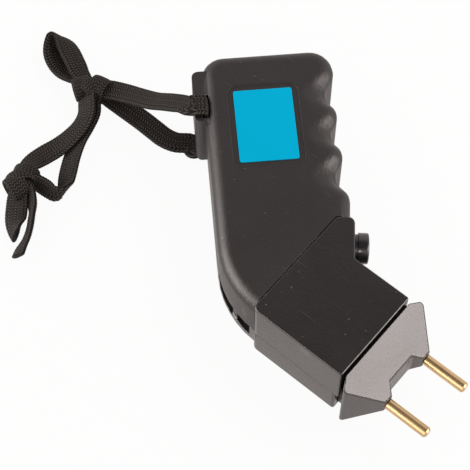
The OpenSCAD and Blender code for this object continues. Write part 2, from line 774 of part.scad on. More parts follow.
// Leads from the coil to the solder tags
module hv_leads() {
    color([0.55, 0.06, 0.05]) at_head() for (k = [-1, 1]) {
        start_y = k > 0 ? 4 : -8;
        wire([
            [coil_front + 0.1, start_y, lead_z - 0.5],
            [coil_front + 2, start_y + k * 0.5, lead_z - 0.7],
            [coil_front + 6, k * 7.5, mid_z + 8],
            [tag_x - 9.5, k * (tail_y - 0.6), mid_z + 5.5],
            [tag_x - 7.5, k * tail_y, mid_z + 3.6],
            [tag_x - 7.3, k * tail_y, mid_z + 1.8]], 1.8);
    }
}

// Nine-volt block
module battery() {
    color([0.16, 0.17, 0.19]) at_head() translate([battery_rear, battery_y, battery_low]) rotate([90, 0, 90])
        linear_extrude(battery_len) polygon(outline([
            [0, 0, 2], [battery_w, 0, 2], [battery_w, battery_h, 2], [0, battery_h, 2]]));
}

module battery_terminals() {
    color(tin) at_head() translate([battery_rear, battery_mid_y, battery_mid_z]) rotate([0, -90, 0]) {
        translate([0, 6.35, 0.03]) cylinder(d = 5.6, h = 2.6);
        translate([0, -6.35, 0.03]) difference() {
            cylinder(d = 8, h = 2.6, $fn = 6);
            translate([0, 0, 0.8]) cylinder(d = 5.8, h = 3);
        }
    }
}

module battery_snap() {
    color(dark) at_head() translate([battery_rear, battery_mid_y, battery_mid_z]) difference() {
        translate([-snap_len, -snap_w / 2, -6]) cube([snap_len - 0.2, snap_w, 12]);
        for (k = [-1, 1]) translate([-3.2, 6.35 * k, 0]) rotate([0, 90, 0]) cylinder(d = 8.6, h = 5);
    }
}

module battery_leads() {
    color([0.5, 0.05, 0.05]) at_head() for (k = [0, 1]) {
        edge = to_head([board_s + 2, 5 + 4 * k]);
        snap = [battery_rear - snap_len, battery_mid_y + 3 - 5 * k];
        wire([
            [snap.x - 0.1, snap.y, battery_mid_z],
            [snap.x - 2.8, snap.y, battery_mid_z],
            [(snap.x + edge.x + 1) / 2, (snap.y + edge.y - 11) / 2, battery_mid_z + 1],
            [edge.x + 4, edge.y - 11, board_z - 6],
            [edge.x + 1, edge.y - 4, board_z - 4],
            [edge.x, edge.y, board_z - 2],
            [edge.x, edge.y, board_z - 0.1]], 1.5);
    }
}

// Deck over the battery, with a corner cut off for the switch and two rails that hold the battery
module battery_tray() {
    rail_x = 16;
    rail_t = 1.5;
    switch_edge = button_w - switch_half - 0.8;
    cut_x = (deck_half * cos(boss_angle) - switch_edge) / sin(boss_angle);
    cut_y = (deck_rear * sin(boss_angle) + switch_edge) / cos(boss_angle);
    color(dark) at_head() difference() {
        union() {
            translate([0, 0, deck_z]) linear_extrude(deck_t) polygon([
                [deck_rear, -deck_half],
                [deck_front, -deck_half],
                [deck_front, deck_half],
                [cut_x, deck_half],
                [deck_rear, cut_y]]);
            for (y = [battery_y - rail_t - 0.3, battery_y + battery_w + 0.3])
                translate([rail_x, y, split_z / 2])
                    cube([deck_front - 7 - rail_x, rail_t, deck_z + 0.5 - split_z / 2]);
        }
        for (p = tray_screw_spots) translate([p.x, p.y, deck_z - 1]) cylinder(d = 3.2, h = deck_t + 2);
    }
}

module circuit_board() {
    color(green) at_grip() difference() {
        translate([board_s, board_b, board_z]) cube([board_len, board_w, board_t]);
        for (p = board_screw_spots) translate([p.x, p.y, board_z - 1]) cylinder(d = 2.4, h = 4);
    }
}

// Ferrite frame with a middle leg, hung under the board
module transformer_core() {
    color([0.2, 0.2, 0.22]) at_board(5, 7) difference() {
        cube([12 * col, 4.5 * row, hang - 0.05]);
        for (x = [1.5, 7.5]) translate([x * col, -1, 3]) cube([3 * col, 4.5 * row + 2, hang - 6]);
    }
}

module transformer_winding() {
    color(copper) at_board(5, 7) difference() {
        translate([2.7 * col, -1.5 * row, 3.2]) cube([6.6 * col, 7.5 * row, hang - 6.4]);
        translate([4.4 * col, -0.1 * row, 3]) cube([3.2 * col, 4.7 * row, hang]);
    }
}

module storage_capacitor() {
    r = 3.5 * col;
    groove = hang - 2.4;
    color([0.12, 0.14, 0.22]) at_board(22, 13) rotate_extrude() polygon([
        [0, 0.4], [r - 1.4, 0.4], [r - 1.4, 0], [r - 0.4, 0], [r, 0.4],
        [r, groove - 0.6], [r - 0.5, groove - 0.1], [r - 0.5, groove + 0.5], [r, groove + 1],
        [r, hang - 0.05], [0, hang - 0.05]]);
}

module film_capacitor() {
    color([0.55, 0.15, 0.08]) at_board(19, 1.5) translate([0, 0, 3])
        rounded_plate(0, 0, board_len - 7 - 19 * col, 4.5 * row, 1, hang - 3.05);
}

module power_transistor() {
    case_low = 3.5;
    color(dark) at_board(1, 5.5) translate([0, 0, case_low]) difference() {
        union() {
            cube([4.5, 10, 9.5]);
            translate([3.2, 0, -4.5]) cube([1.3, 10, 5]);
            for (y = [2, 4.6, 7.2]) translate([2, y, 9]) cube([0.8, 0.8, hang - case_low - 9.05]);
        }
        translate([2, 5, -2.2]) rotate([0, 90, 0]) cylinder(d = 3, h = 4);
    }
}

module lying_part(k, d) {
    translate([board_s + k * col, board_b + 13.5 * row, board_z - d / 2 - 0.05]) rotate([-90, 0, 0])
        cylinder(d = d, h = 3.25 * row);
}

// Small parts: resistors and a diode lying on the board, and a trimmer
module board_parts() {
    color([0.75, 0.66, 0.48]) at_grip() {
        for (k = [6, 9, 12]) lying_part(k, 2.6);
        lying_part(15, 3.2);
        translate([board_s + 11 * col, board_b + row, board_z - 4.05]) cube([6.5, 6.5, 4]);
    }
}

module switch_leads() {
    color([0.08, 0.25, 0.55]) at_head() for (k = [-1, 1]) {
        tab = on_boss(boss_reach + switch_low - 5.1, button_w + 3 * k);
        edge = to_head([board_s + 3, -4 - 4 * k]);
        wire([
            [tab.x, tab.y, button_z],
            [tab.x - 1.6, tab.y - 1.2, button_z],
            [tab.x - 5, tab.y + 0.5, button_z - 0.5],
            [(tab.x + edge.x) / 2 - 3, (tab.y + edge.y) / 2 - 1, button_z - 1.5],
            [edge.x + 1, edge.y - 3, board_z + 4],
            [edge.x, edge.y, board_z + 2.6],
            [edge.x, edge.y, board_z + board_t + 0.1]], 1.4);
    }
}

module coil_leads() {
    color([0.7, 0.62, 0.1]) at_head() for (k = [0, 1]) {
        edge = to_head([board_s + 3, 4 + 4 * k]);
        wire([
            [edge.x, edge.y, board_z + board_t + 0.1],
            [edge.x, edge.y, board_z + 4],
            [edge.x + 2, edge.y - 4, board_z + 6],
            [-19 - 3 * k, 8 - 4 * k, lead_z - 1],
            [-10, -1 - 4 * k, lead_z],
            [0, -4 - 4 * k, lead_z],
            [coil_rear - 4, -5 - 4 * k, lead_z - 0.5],
            [coil_rear - 0.1, -5 - 4 * k, lead_z - 0.5]], 1.5);
    }
}

module shell_screws() {
    color(steel) at_grip() for (p = shell_screw_spots) translate([p.x, p.y, 3.95]) screw(2.9, 5.8, 2.2, shell_screw_len);
}

module head_screws() {
    color(steel) at_head() for (p = head_screw_spots) translate([p.x, p.y, roof_z - 2.75]) screw(2.9, 8, 2.2, 3.6);
}

module nose_screws() {
    color(steel) at_head() for (p = nose_screw_spots) translate([p.x, p.y, ear_z - 0.03])
        screw(2.9, 5.8, 2.2, nose_screw_len);
}

module tray_screws() {
    color(steel) at_head() for (p = tray_screw_spots) translate([p.x, p.y, deck_z - 0.03])
        screw(2.9, 5.8, 2.2, tray_screw_len);
}

module board_screws() {
    color(steel) at_grip() for (p = board_screw_spots) translate([p.x, p.y, board_z - 0.03])
        screw(2.1, 4.4, 1.8, board_screw_len);
}

// Places of the cord: in the middle of the slot, and in plan from the outside of the lug
function in_slot(b, z) = let (p = to_head([slot_mid, b])) [p.x, p.y, z, 0];
function out(x, y, z, tilt = 0) = in_slot(lug_back, z) + [x, y, 0, tilt];
slot_ahead = concat(to_head([0, -1]), [0]);
over_z = lug_top + lace_t / 2 + 0.35;
under_z = lace_t / 2 + 0.2;
bar_gap = lace_t / 2 + 0.3;
bar_round = bar_gap * 0.72;
knot_one_spot = out(-58.5, -10, 7);
knot_two_spot = out(-48.5, -68.5, 7);

// Cord from the first knot over the lug, down through the slot and back under the lug
module cord_loop() {
    lace([
        out(-53, -6.5, 8.4),
        out(-49, -4.5, 9.2),
        out(-41.5, -2.5, over_z * 0.285),
        out(-33, -2, over_z * 0.4),
        out(-23.5, -2, over_z * 0.56),
        out(-15, -1.5, over_z * 0.735),
        out(-7, -1, over_z * 0.885),
        in_slot(lug_back + 1.8, over_z - 0.1),
        in_slot(lug_back - 0.8, over_z + 0.15),
        in_slot(bar_b, over_z),
        in_slot(bar_b - bar_round, lug_top + bar_round),
        in_slot(bar_b - bar_gap, lug_top),
        in_slot(bar_b - bar_gap, lug_top - 3.5),
        in_slot(bar_b - bar_gap, mid_z + 7),
        in_slot(bar_b - bar_gap, mid_z - 4),
        in_slot(bar_b - bar_gap, lug_low + 2.5),
        in_slot(bar_b - bar_gap, lug_low),
        in_slot(bar_b - bar_round, lug_low - bar_round),
        in_slot(bar_b, lug_low - bar_gap),
        in_slot(bar_b + 2.5, 1.9),
        in_slot(lug_back + 0.5, under_z),
        out(-4, 0.5, under_z),
        out(-9.5, -3.5, 1.8),
        out(-15.5, -5, 1.8),
        out(-21.5, -5, 2),
        out(-29.5, -5, 2.6),
        out(-37, -5.5, 3.6),
        out(-47, -6, 4.6),
        out(-52, -6.5, 5.6)], slot_ahead);
}

// Bow of lace that leans over on its edge beyond the first knot
module cord_bow() {
    lace([
        out(-62.5, -8.5, 7.2, 58),
        out(-68.5, -6.5, 7.6, 50),
        out(-72.5, -4.5, 8.4, 47),
        out(-81, -0.5, 8.6, 47),
        out(-87.5, 2, 8.4, 62),
        out(-91.5, 1.5, 7.6, 86),
        out(-92.5, -1, 6.8, 102),
        out(-89.5, -4.5, 6, 122),
        out(-85.5, -7.5, 5.6, 133),
        out(-80.5, -9.5, 5.4, 133),
        out(-74.5, -10, 5.6, 128),
        out(-67, -10, 6.2, 122)]);
}

// Two strands from the first knot to the second
module cord_strand_short() {
    lace([
        out(-57, -13.5, 8.2, 40),
        out(-54.5, -16.5, 8.6, 40),
        out(-50.5, -21, 8.2, 40),
        out(-48, -27.5, 7.2, 40),
        out(-48, -35.5, 5.8, 40),
        out(-49.5, -42.5, 5, 40),
        out(-51.5, -49, 5, 40),
        out(-52.5, -56, 5.6, 42),
        out(-51.5, -61.5, 6.4, 45)]);
}

module cord_strand_long() {
    lace([
        out(-55, -13.5, 4.8, 34),
        out(-49.5, -19, 4.4, 34),
        out(-46.5, -26.5, 4.4, 34),
        out(-44, -35, 4.4, 34),
        out(-40, -43.5, 4.4, 34),
        out(-35.5, -51, 4.6, 44),
        out(-31.5, -56, 5.4, 66),
        out(-31, -59.5, 5.8, 84),
        out(-33, -62.5, 5.8, 98),
        out(-37.5, -63, 5.8, 108),
        out(-43.5, -64, 6.2, 105)]);
}

// Turned-back end and cut tail beyond the second knot
module cord_end_loop() {
    lace([
        out(-45, -74.5, 6.5, 28),
        out(-42, -78.5, 5.4, 35),
        out(-38.5, -83, 5.2, 50),
        out(-34.5, -87.5, 5.4, 64),
        out(-30, -91, 5.8, 74)]);
}

module cord_tail() {
    lace([
        out(-43, -69.5, 6.4, 62),
        out(-36, -74, 6, 72),
        out(-32.5, -78.5, 5.9, 74),
        out(-29, -83.5, 5.9, 72),
        out(-26.5, -88.5, 5.8, 66),
        out(-25, -93.5, 5.6, 58),
        out(-23.5, -97, 5.6, 56)]);
}
module knot_one() {
    knot(knot_one_spot, 40);
}

module knot_two() {
    knot(knot_two_spot, 100);
}

grip_shell_near();
grip_shell_far();
head_housing();
battery_cover();
nose_cap();
electrode_left();
electrode_right();
electrode_nuts();
electrode_tags();
button_cap();
button_bush();
button_nut();
button_spring();
button_clip();
switch_body();
switch_terminals();
label_plate();
output_coil();
hv_leads();
battery();
battery_terminals();
battery_snap();
battery_leads();
battery_tray();
circuit_board();
transformer_core();
transformer_winding();
storage_capacitor();
film_capacitor();
power_transistor();
board_parts();
switch_leads();
coil_leads();
shell_screws();
head_screws();
nose_screws();
tray_screws();
board_screws();
cord_loop();
cord_bow();
cord_strand_short();
cord_strand_long();
cord_end_loop();
cord_tail();
knot_one();
knot_two();
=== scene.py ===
# %% [markdown]
# # Cattle prodder
# The object lies on its flat far side: a bent grip with finger scallops, a square head with a push button,
# a wedge nose with two brass prongs, and a knotted wrist cord of flat braided lace.
# The CAD model gives every piece its place. Blender gives the pieces their edges, finishes and weave.

# %% Load the frame
import math

import bmesh
import bpy
import numpy as np
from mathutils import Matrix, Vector
from mathutils.bvhtree import BVHTree


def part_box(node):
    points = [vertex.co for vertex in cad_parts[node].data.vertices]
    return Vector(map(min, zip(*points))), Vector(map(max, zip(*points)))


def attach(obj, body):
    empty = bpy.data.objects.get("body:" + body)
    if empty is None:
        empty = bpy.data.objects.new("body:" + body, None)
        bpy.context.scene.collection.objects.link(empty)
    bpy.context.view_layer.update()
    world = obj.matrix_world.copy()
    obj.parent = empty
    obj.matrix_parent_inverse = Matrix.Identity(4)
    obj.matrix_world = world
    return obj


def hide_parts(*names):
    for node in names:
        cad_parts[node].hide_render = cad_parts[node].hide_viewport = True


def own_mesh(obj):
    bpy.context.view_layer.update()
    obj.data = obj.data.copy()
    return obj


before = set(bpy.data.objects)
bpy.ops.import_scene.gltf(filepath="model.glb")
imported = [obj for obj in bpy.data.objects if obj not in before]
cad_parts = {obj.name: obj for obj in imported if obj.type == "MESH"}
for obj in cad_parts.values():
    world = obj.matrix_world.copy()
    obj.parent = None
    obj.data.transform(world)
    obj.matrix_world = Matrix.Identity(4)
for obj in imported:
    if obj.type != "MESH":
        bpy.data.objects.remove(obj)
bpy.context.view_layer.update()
MM = 0.001
print("CAD nodes:", len(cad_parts))

# %% [markdown]
# ## Camera
# The photograph looks down on the near side at about 62 degrees, through a long lens.
# A long lens keeps the edges of the head almost parallel, so the focal length matters as much as the angle.
# The camera is set by the point that it aims at and by how far it stands off from that point.

# %% Camera
IMAGE_PX = 470
FOCAL_PX = 1608
SENSOR_MM = 36.0
aim = Vector((-0.03715, -0.02097, 0.0))
stand_off = Vector((0.2238, -0.2661, 0.6595))


def add_object(name, data):
    """A new object for a mesh, lamp or camera, linked to the scene."""
    thing = bpy.data.objects.new(name, data)
    bpy.context.scene.collection.objects.link(thing)
    return thing


def look(thing, spot, way):
    """Puts a camera or lamp at a spot and turns it to look along a way."""
    thing.location = spot
    thing.rotation_euler = way.to_track_quat("-Z", "Y").to_euler()


camera_data = bpy.data.cameras.new("Camera")
camera_data.sensor_width = SENSOR_MM
camera_data.lens = SENSOR_MM * FOCAL_PX / IMAGE_PX
camera_data.clip_start = 0.01
camera = add_object("Camera", camera_data)
look(camera, aim + stand_off, -stand_off)
bpy.context.scene.camera = camera
print("lens:", round(camera_data.lens, 1), "mm")

# %% [markdown]
# ## Helpers for shader nodes
# Every finish below is a small tree of nodes. These helpers keep the trees readable. An input is given
# either a plain value, which is the same all over the surface, or the socket of another node, which is
# linked to it.

# %% Node helpers
VECTOR, FLOAT = "NodeSocketVector", "NodeSocketFloat"
MIX_BASE, MIX_OVER, MIX_COLOUR = 6, 7, 2


def feed(tree, target, value):
    """Links an input to a socket, or sets it to a plain value."""
    if isinstance(value, bpy.types.NodeSocket):
        tree.links.new(value, target)
    else:
        target.default_value = value


def add_node(tree, kind, **values):
    """Adds a node; a value that names an input is fed to it, and any other is set on the node."""
    node = tree.nodes.new(kind)
    for key, value in values.items():
        label = key.replace("_", " ")
        if label in node.inputs:
            feed(tree, node.inputs[label], value)
        else:
            setattr(node, key, value)
    return node


def calc(tree, operation, *values):
    """The result of a Math node."""
    node = add_node(tree, "ShaderNodeMath", operation=operation)
    for target, value in zip(node.inputs, values):
        feed(tree, target, value)
    return node.outputs[0]


def ramp(tree, value, low, high, start=0.0, end=1.0):
    """A number that goes from start to end as a value goes from low to high."""
    node = add_node(tree, "ShaderNodeMapRange", Value=value, From_Min=low, From_Max=high, To_Min=start,
                    To_Max=end)
    return node.outputs["Result"]


def mix_colour(tree, base, over, mask):
    """A colour that goes from base to over by a mask."""
    mix = add_node(tree, "ShaderNodeMix", data_type="RGBA", Factor=mask)
    feed(tree, mix.inputs[MIX_BASE], base)
    feed(tree, mix.inputs[MIX_OVER], over)
    return mix.outputs[MIX_COLOUR]


def object_spot(tree):
    """The place of a surface point in the object's own coordinates."""
    return add_node(tree, "ShaderNodeTexCoord").outputs["Object"]


print("node helpers ready")

# %% Material helpers
def new_material(name):
    """A material, its tree and its Principled shader."""
    material = bpy.data.materials.new(name)
    material.use_nodes = True
    tree = material.node_tree
    return material, tree, tree.nodes["Principled BSDF"]


def surface(tree, shader, colour, rough, relief=None, **plain):
    """Gives a Principled shader its colour, roughness, the normal of a Bump node and plain values."""
    feed(tree, shader.inputs["Base Color"], colour)
    feed(tree, shader.inputs["Roughness"], rough)
    if relief is not None:
        feed(tree, shader.inputs["Normal"], relief.outputs["Normal"])
    for key, value in plain.items():
        shader.inputs[key.replace("_", " ")].default_value = value


def dress(finish, *pieces):
    """Puts a finish on pieces."""
    for piece in pieces:
        piece.data.materials.append(finish)


def new_group(name, inputs, outputs):
    """A shader node group, and the sockets that it takes in and gives out."""
    group = bpy.data.node_groups.new(name, "ShaderNodeTree")
    for label, kind, value in inputs:
        socket = group.interface.new_socket(label, in_out="INPUT", socket_type=kind)
        if value is not None:
            socket.default_value = value
    for label, kind in outputs:
        group.interface.new_socket(label, in_out="OUTPUT", socket_type=kind)
    return group, group.nodes.new("NodeGroupInput").outputs, group.nodes.new("NodeGroupOutput").inputs


def use_group(tree, group, **values):
    """Places a node group in a material with its own values, and gives its outputs."""
    node = tree.nodes.new("ShaderNodeGroup")
    node.node_tree = group
    for key, value in values.items():
        feed(tree, node.inputs[key], value)
    return node.outputs


print("material helpers ready")

# %% [markdown]
# ## Studio
# The photograph is a cut-out on plain white. A real table would be lit to near white, and the black walls of
# the head get their grey from it, because a polished wall seen at a low angle mirrors the table.
# So the floor shows plain white to the camera and a slightly warm white to reflections, mixed with a little
# true shading, which keeps a faint shadow under the object.

# %% Floor
WHITE = (1.0, 1.0, 1.0, 1.0)
WARM = (1.0, 0.915, 0.89, 1.0)
FLOOR_SIZE = 8.0
FLOOR_DROP = 0.4 * MM
FLOOR_GREY = (0.93, 0.93, 0.93, 1.0)
FLOOR_ROUGH, FLOOR_GLOW = 0.8, 0.94

bpy.context.scene.view_settings.view_transform = "Standard"
bpy.ops.object.select_all(action="DESELECT")
bpy.ops.mesh.primitive_plane_add(size=FLOOR_SIZE, location=(0, 0, -FLOOR_DROP))
floor = bpy.context.active_object
floor.name = "studio_floor"

floor_finish, tree, shader = new_material("studio_white")
surface(tree, shader, FLOOR_GREY, FLOOR_ROUGH, Specular_IOR_Level=0.1)
ray = add_node(tree, "ShaderNodeLightPath").outputs
seen = calc(tree, "MAXIMUM", ray["Is Camera Ray"], ray["Is Glossy Ray"])
mirrored = calc(tree, "MAXIMUM", seen, ray["Is Transmission Ray"])
tint = mix_colour(tree, WARM, WHITE, ray["Is Camera Ray"])
glow = add_node(tree, "ShaderNodeEmission", Color=tint, Strength=1.0)
blend = add_node(tree, "ShaderNodeMixShader", Fac=calc(tree, "MULTIPLY", mirrored, FLOOR_GLOW))
tree.links.new(shader.outputs["BSDF"], blend.inputs[1])
tree.links.new(glow.outputs["Emission"], blend.inputs[2])
tree.links.new(blend.outputs[0], tree.nodes["Material Output"].inputs["Surface"])
dress(floor_finish, floor)
print("floor:", floor.name)

# %% Sky
SKY_FADE = (0.68, 0.93)
SKY_LEVELS = (1.05, 0.20)
world = bpy.data.worlds.new("studio_world")
bpy.context.scene.world = world
world.use_nodes = True
sky = world.node_tree
ray = add_node(sky, "ShaderNodeLightPath").outputs
direction = add_node(sky, "ShaderNodeTexCoord").outputs["Generated"]
height = add_node(sky, "ShaderNodeSeparateXYZ", Vector=direction).outputs["Z"]
fade = ramp(sky, height, *SKY_FADE, *SKY_LEVELS)
level = add_node(sky, "ShaderNodeMix", data_type="FLOAT", Factor=ray["Is Camera Ray"], A=fade, B=1.0)
background = sky.nodes["Background"]
feed(sky, background.inputs["Strength"], level.outputs[0])
feed(sky, background.inputs["Color"], mix_colour(sky, WARM, WHITE, ray["Is Camera Ray"]))
print("sky:", world.name)

# %% [markdown]
# ## Lamps
# The slope of the nose shines because a soft box stands low on its right, where the slope mirrors it.
# Other low boxes give the outside of the bend, the front edges of the head and the button their light bands.
# These boxes are there for their mirror images alone, so they don't take part in diffuse light, and colours
# keep the level that the sky gives them. A broad box overhead adds the soft light that makes the shadow.

# %% Lamps
def soft_box(name, spot, target, size, watts, mirror_only=False):
    """A square area lamp at a spot, turned to a target; a mirror-only lamp shows in gloss alone."""
    lamp = bpy.data.lights.new(name, "AREA")
    lamp.size = size
    lamp.energy = watts
    lamp.color = WARM[:3]
    box = add_object(name, lamp)
    box.visible_diffuse = not mirror_only
    box.visible_glossy = mirror_only
    box.visible_camera = False
    look(box, Vector(spot), Vector(target) - Vector(spot))


soft_box("nose_box", (0.92, 0.34, 0.50), (0.06, -0.03, 0.02), 0.80, 15.5, mirror_only=True)
soft_box("bend_box", (-0.80, -0.66, 0.42), (-0.03, -0.03, 0.02), 0.90, 20.5, mirror_only=True)
soft_box("front_box", (-0.30, -0.95, 0.40), (0.03, -0.05, 0.02), 0.60, 3.2, mirror_only=True)
soft_box("button_box", (0.43, -0.58, 0.69), (0.02, 0.0, 0.03), 0.22, 1.8, mirror_only=True)
soft_box("top_box", (0.35, 0.75, 1.10), (0.0, 0.0, 0.0), 0.80, 6.0)
print("lamps ready")

# %% [markdown]
# ## Wrist cord: the lace
# The cord is a flat braided lace, 11 mm wide and 2.6 mm thick. A real lace is a tube of braid pressed flat,
# and its face shows narrow columns of slanting stitches.
# A curve with a bevel would give a smooth tape, so the lace is swept by code: a flat oval follows the route,
# and each point of the oval is raised or lowered by the stitch that it lies in.

# %% Lace sizes
LACE_W = 11.0 * MM
LACE_T = 2.6 * MM
STITCH_COLUMNS = 7
STITCH_PITCH = 1.4 * MM
STITCH_RISE = 0.24 * MM
STITCH_SLANT = 0.9
SWEEP_STEP = 0.27 * MM
CURVE_STEPS = 40
SECTION_POINTS = 64
SIDE_CURVE, FACE_CURVE = 0.75, 0.8
FACE_LIMIT = 0.999
print("lace:", LACE_W / MM, "by", LACE_T / MM, "mm")

# %% Selection helpers
def pick(piece):
    """Selects one object alone and makes it the active one."""
    bpy.ops.object.select_all(action="DESELECT")
    piece.select_set(True)
    bpy.context.view_layer.objects.active = piece


def edit_all(piece):
    """Goes into edit mode on one object, with its whole mesh selected."""
    pick(piece)
    bpy.ops.object.mode_set(mode="EDIT")
    bpy.ops.mesh.select_all(action="SELECT")


print("selection helpers ready")

# %% Route helpers
def smooth_route(points, closed=False):
    """A Catmull-Rom curve through the points, cut into equal short steps."""
    p = np.array(points, float)
    if closed:
        p = np.vstack([p[-1], p, p[0], p[1]])
    else:
        p = np.vstack([2 * p[0] - p[1], p, 2 * p[-1] - p[-2]])
    t = np.linspace(0, 1, CURVE_STEPS, endpoint=False)[:, None]
    curve = []
    for a, b, c, d in zip(p[:-3], p[1:-2], p[2:-1], p[3:]):
        curve.append(0.5 * (2 * b + (c - a) * t + (2 * a - 5 * b + 4 * c - d) * t**2
                            + (3 * b - a - 3 * c + d) * t**3))
    curve = np.vstack(curve + [p[-2:-1]])
    leaps = np.linalg.norm(np.diff(curve[:, :3], axis=0), axis=1)
    run = np.concatenate([[0], np.cumsum(leaps)])
    steps = np.linspace(0, run[-1], int(run[-1] / SWEEP_STEP) + 2)
    if closed:
        steps = steps[:-1]
    return np.column_stack([np.interp(steps, run, curve[:, k]) for k in range(curve.shape[1])]), steps


def unit(v):
    """The rows of v, each made one long."""
    return v / np.maximum(np.linalg.norm(v, axis=1, keepdims=True), 1e-9)


def soften(rows, width):
    """A running mean along the route, for turns that have no jolt."""
    kernel = np.hanning(2 * width + 3)[1:-1]
    padded = np.pad(rows, ((width, width), (0, 0)), mode="edge")
    return np.column_stack([np.convolve(column, kernel / kernel.sum(), "valid") for column in padded.T])


print("route helpers ready")

# %% Lace sweep
def stitch_height(across, along):
    """Height from 0 to 1 of the slanting stitches, for a place across the face from -1 to 1."""
    column = (across + 1) / 2 * STITCH_COLUMNS
    index = np.floor(column)
    inside = column - index - 0.5
    slant = np.where(index % 2 == 0, STITCH_SLANT, -STITCH_SLANT)
    ridge = 0.5 + 0.5 * np.cos(2 * math.pi * (along / STITCH_PITCH + slant * inside))
    return ridge * np.cos(math.pi * inside) ** 0.5


def lace_sweep(route, run, side, width, thick, closed=False):
    """Corners, faces and stitch heights of a lace along a route, with its width along side."""
    n = len(route)
    ahead = np.roll(route, -1, 0) - np.roll(route, 1, 0) if closed else np.gradient(route, axis=0)
    ahead = unit(ahead)
    face = unit(np.cross(ahead, side))
    side = np.cross(face, ahead)
    turn = np.linspace(0, 2 * math.pi, SECTION_POINTS, endpoint=False)
    c, s = np.cos(turn), np.sin(turn)
    across = np.sign(c) * np.abs(c) ** SIDE_CURVE
    up = np.sign(s) * np.abs(s) ** FACE_CURVE
    out_side, out_up = across / width, up / thick
    size = np.hypot(out_side, out_up)
    raised = stitch_height(np.clip(across, -FACE_LIMIT, FACE_LIMIT)[None, :], run[:, None])
    lift = (raised - 0.5) * STITCH_RISE * np.minimum(1.0, thick / LACE_T)
    along_side = across[None, :] * np.reshape(width, (-1, 1)) / 2 + lift * (out_side / size)[None, :]
    along_face = up[None, :] * np.reshape(thick, (-1, 1)) / 2 + lift * (out_up / size)[None, :]
    corners = (route[:, None, :] + side[:, None, :] * along_side[..., None]
               + face[:, None, :] * along_face[..., None])
    rows = n if closed else n - 1
    i = np.arange(rows)[:, None]
    j = np.arange(SECTION_POINTS)[None, :]
    k, m = (j + 1) % SECTION_POINTS, (i + 1) % n
    faces = np.stack(np.broadcast_arrays(i * SECTION_POINTS + j, i * SECTION_POINTS + k,
                                         m * SECTION_POINTS + k, m * SECTION_POINTS + j), -1).reshape(-1, 4)
    return corners.reshape(-1, 3), faces, raised.reshape(-1)


def mesh_piece(name, corners, faces, raised, caps=()):
    """A smooth mesh object from swept rows, with the stitch heights kept as an attribute."""
    mesh = bpy.data.meshes.new(name)
    mesh.from_pydata([tuple(v) for v in corners], [], [tuple(f) for f in faces] + [tuple(c) for c in caps])
    stitch = mesh.attributes.new("stitch", "FLOAT", "POINT")
    stitch.data.foreach_set("value", np.asarray(raised, np.float32))
    mesh.update()
    piece = add_object(name, mesh)
    edit_all(piece)
    bpy.ops.mesh.normals_make_consistent(inside=False)
    bpy.ops.object.mode_set(mode="OBJECT")
    bpy.ops.object.shade_smooth()
    return piece


print("lace sweep ready")

# %% [markdown]
# ## Wrist cord: the routes
# The routes repeat the cord's places in the CAD model, measured in millimetres from the outside of the lug.
# Each row is x, y, height and tilt: a tilt of 0 lays the lace flat, and 90 stands it on its edge.
# Two strands leave the slot in the lug, one over it and one under it, and both end in the first knot.
# A bow and two more strands leave that knot, and the strands pass through the second knot to their cut ends.

# %% Lace routes
DIAGONAL = 0.70711
LUG = np.array([-0.080722, 0.001892])
LUG_BACK = 33.6
BACK = np.array([-DIAGONAL, -DIAGONAL])


def in_slot(back, height):
    """A place in the middle of the slot, by its distance back from the grip axis."""
    spot = (back - LUG_BACK) * BACK
    return (spot[0], spot[1], height, 0)


LAY_OVER = [
    in_slot(28.4, 20), in_slot(28.4, 27), in_slot(28.4, 35), in_slot(28.4, 38.5), in_slot(28.85, 39.65),
    in_slot(30.0, 40.15), in_slot(32.8, 40.3), in_slot(35.4, 40.05), (-7, -1, 35.5, 0), (-15, -1.5, 29.5, 0),
    (-23.5, -2, 22.5, 0), (-33, -2, 16.05, 0), (-41.5, -2.5, 11.45, 0), (-49, -4.5, 9.2, 0),
    (-53, -6.5, 8.4, 0), (-57, -8.5, 7.8, 0)]
LAY_UNDER = [
    in_slot(28.4, 20), in_slot(28.4, 16), in_slot(28.4, 6.5), in_slot(28.4, 4), in_slot(28.85, 2.85),
    in_slot(30.0, 2.4), in_slot(32.5, 1.9), in_slot(34.1, 1.5), (-4, 0.5, 1.5, 0), (-9.5, -3.5, 1.8, 0),
    (-15.5, -5, 1.8, 0), (-21.5, -5, 2, 0), (-29.5, -5, 2.6, 0), (-37, -5.5, 3.6, 0), (-47, -6, 4.6, 0),
    (-52, -6.5, 5.6, 0), (-57, -8.5, 6.2, 0)]
LAY_BOW = [
    (-59, -9.5, 7, 42), (-62.5, -8.5, 7.4, 38), (-68.5, -6.5, 8.2, 27), (-72.5, -4.5, 8.8, 22),
    (-81, -0.5, 8.8, 22), (-87.5, 2, 8.4, 46), (-91.5, 1.5, 7.6, 80), (-92.5, -1, 6.8, 104),
    (-89.2, -4.2, 5.8, 136), (-85, -6.9, 5.0, 158), (-80, -8.8, 4.6, 162), (-74.5, -9.8, 4.8, 156),
    (-67, -10, 6.0, 138), (-61.5, -10, 6.6, 124)]
LAY_SHORT = [
    (-58.5, -11.5, 8, 40), (-57, -13.5, 8.2, 40), (-54.5, -16.5, 8.6, 40), (-50.5, -21, 8.2, 36),
    (-48, -27.5, 7.4, 27), (-48, -35.5, 6.0, 17), (-49.5, -42.5, 4.4, 7), (-51.5, -49, 3.8, 3),
    (-52.5, -56, 4.8, 10), (-51.5, -61.5, 6.2, 24), (-48.5, -68.5, 7, 28), (-45, -74.5, 6.2, 22),
    (-42, -78.5, 5.0, 14), (-38.5, -83, 4.2, 16), (-35, -87, 4.8, 46), (-31.5, -90, 5.6, 72)]
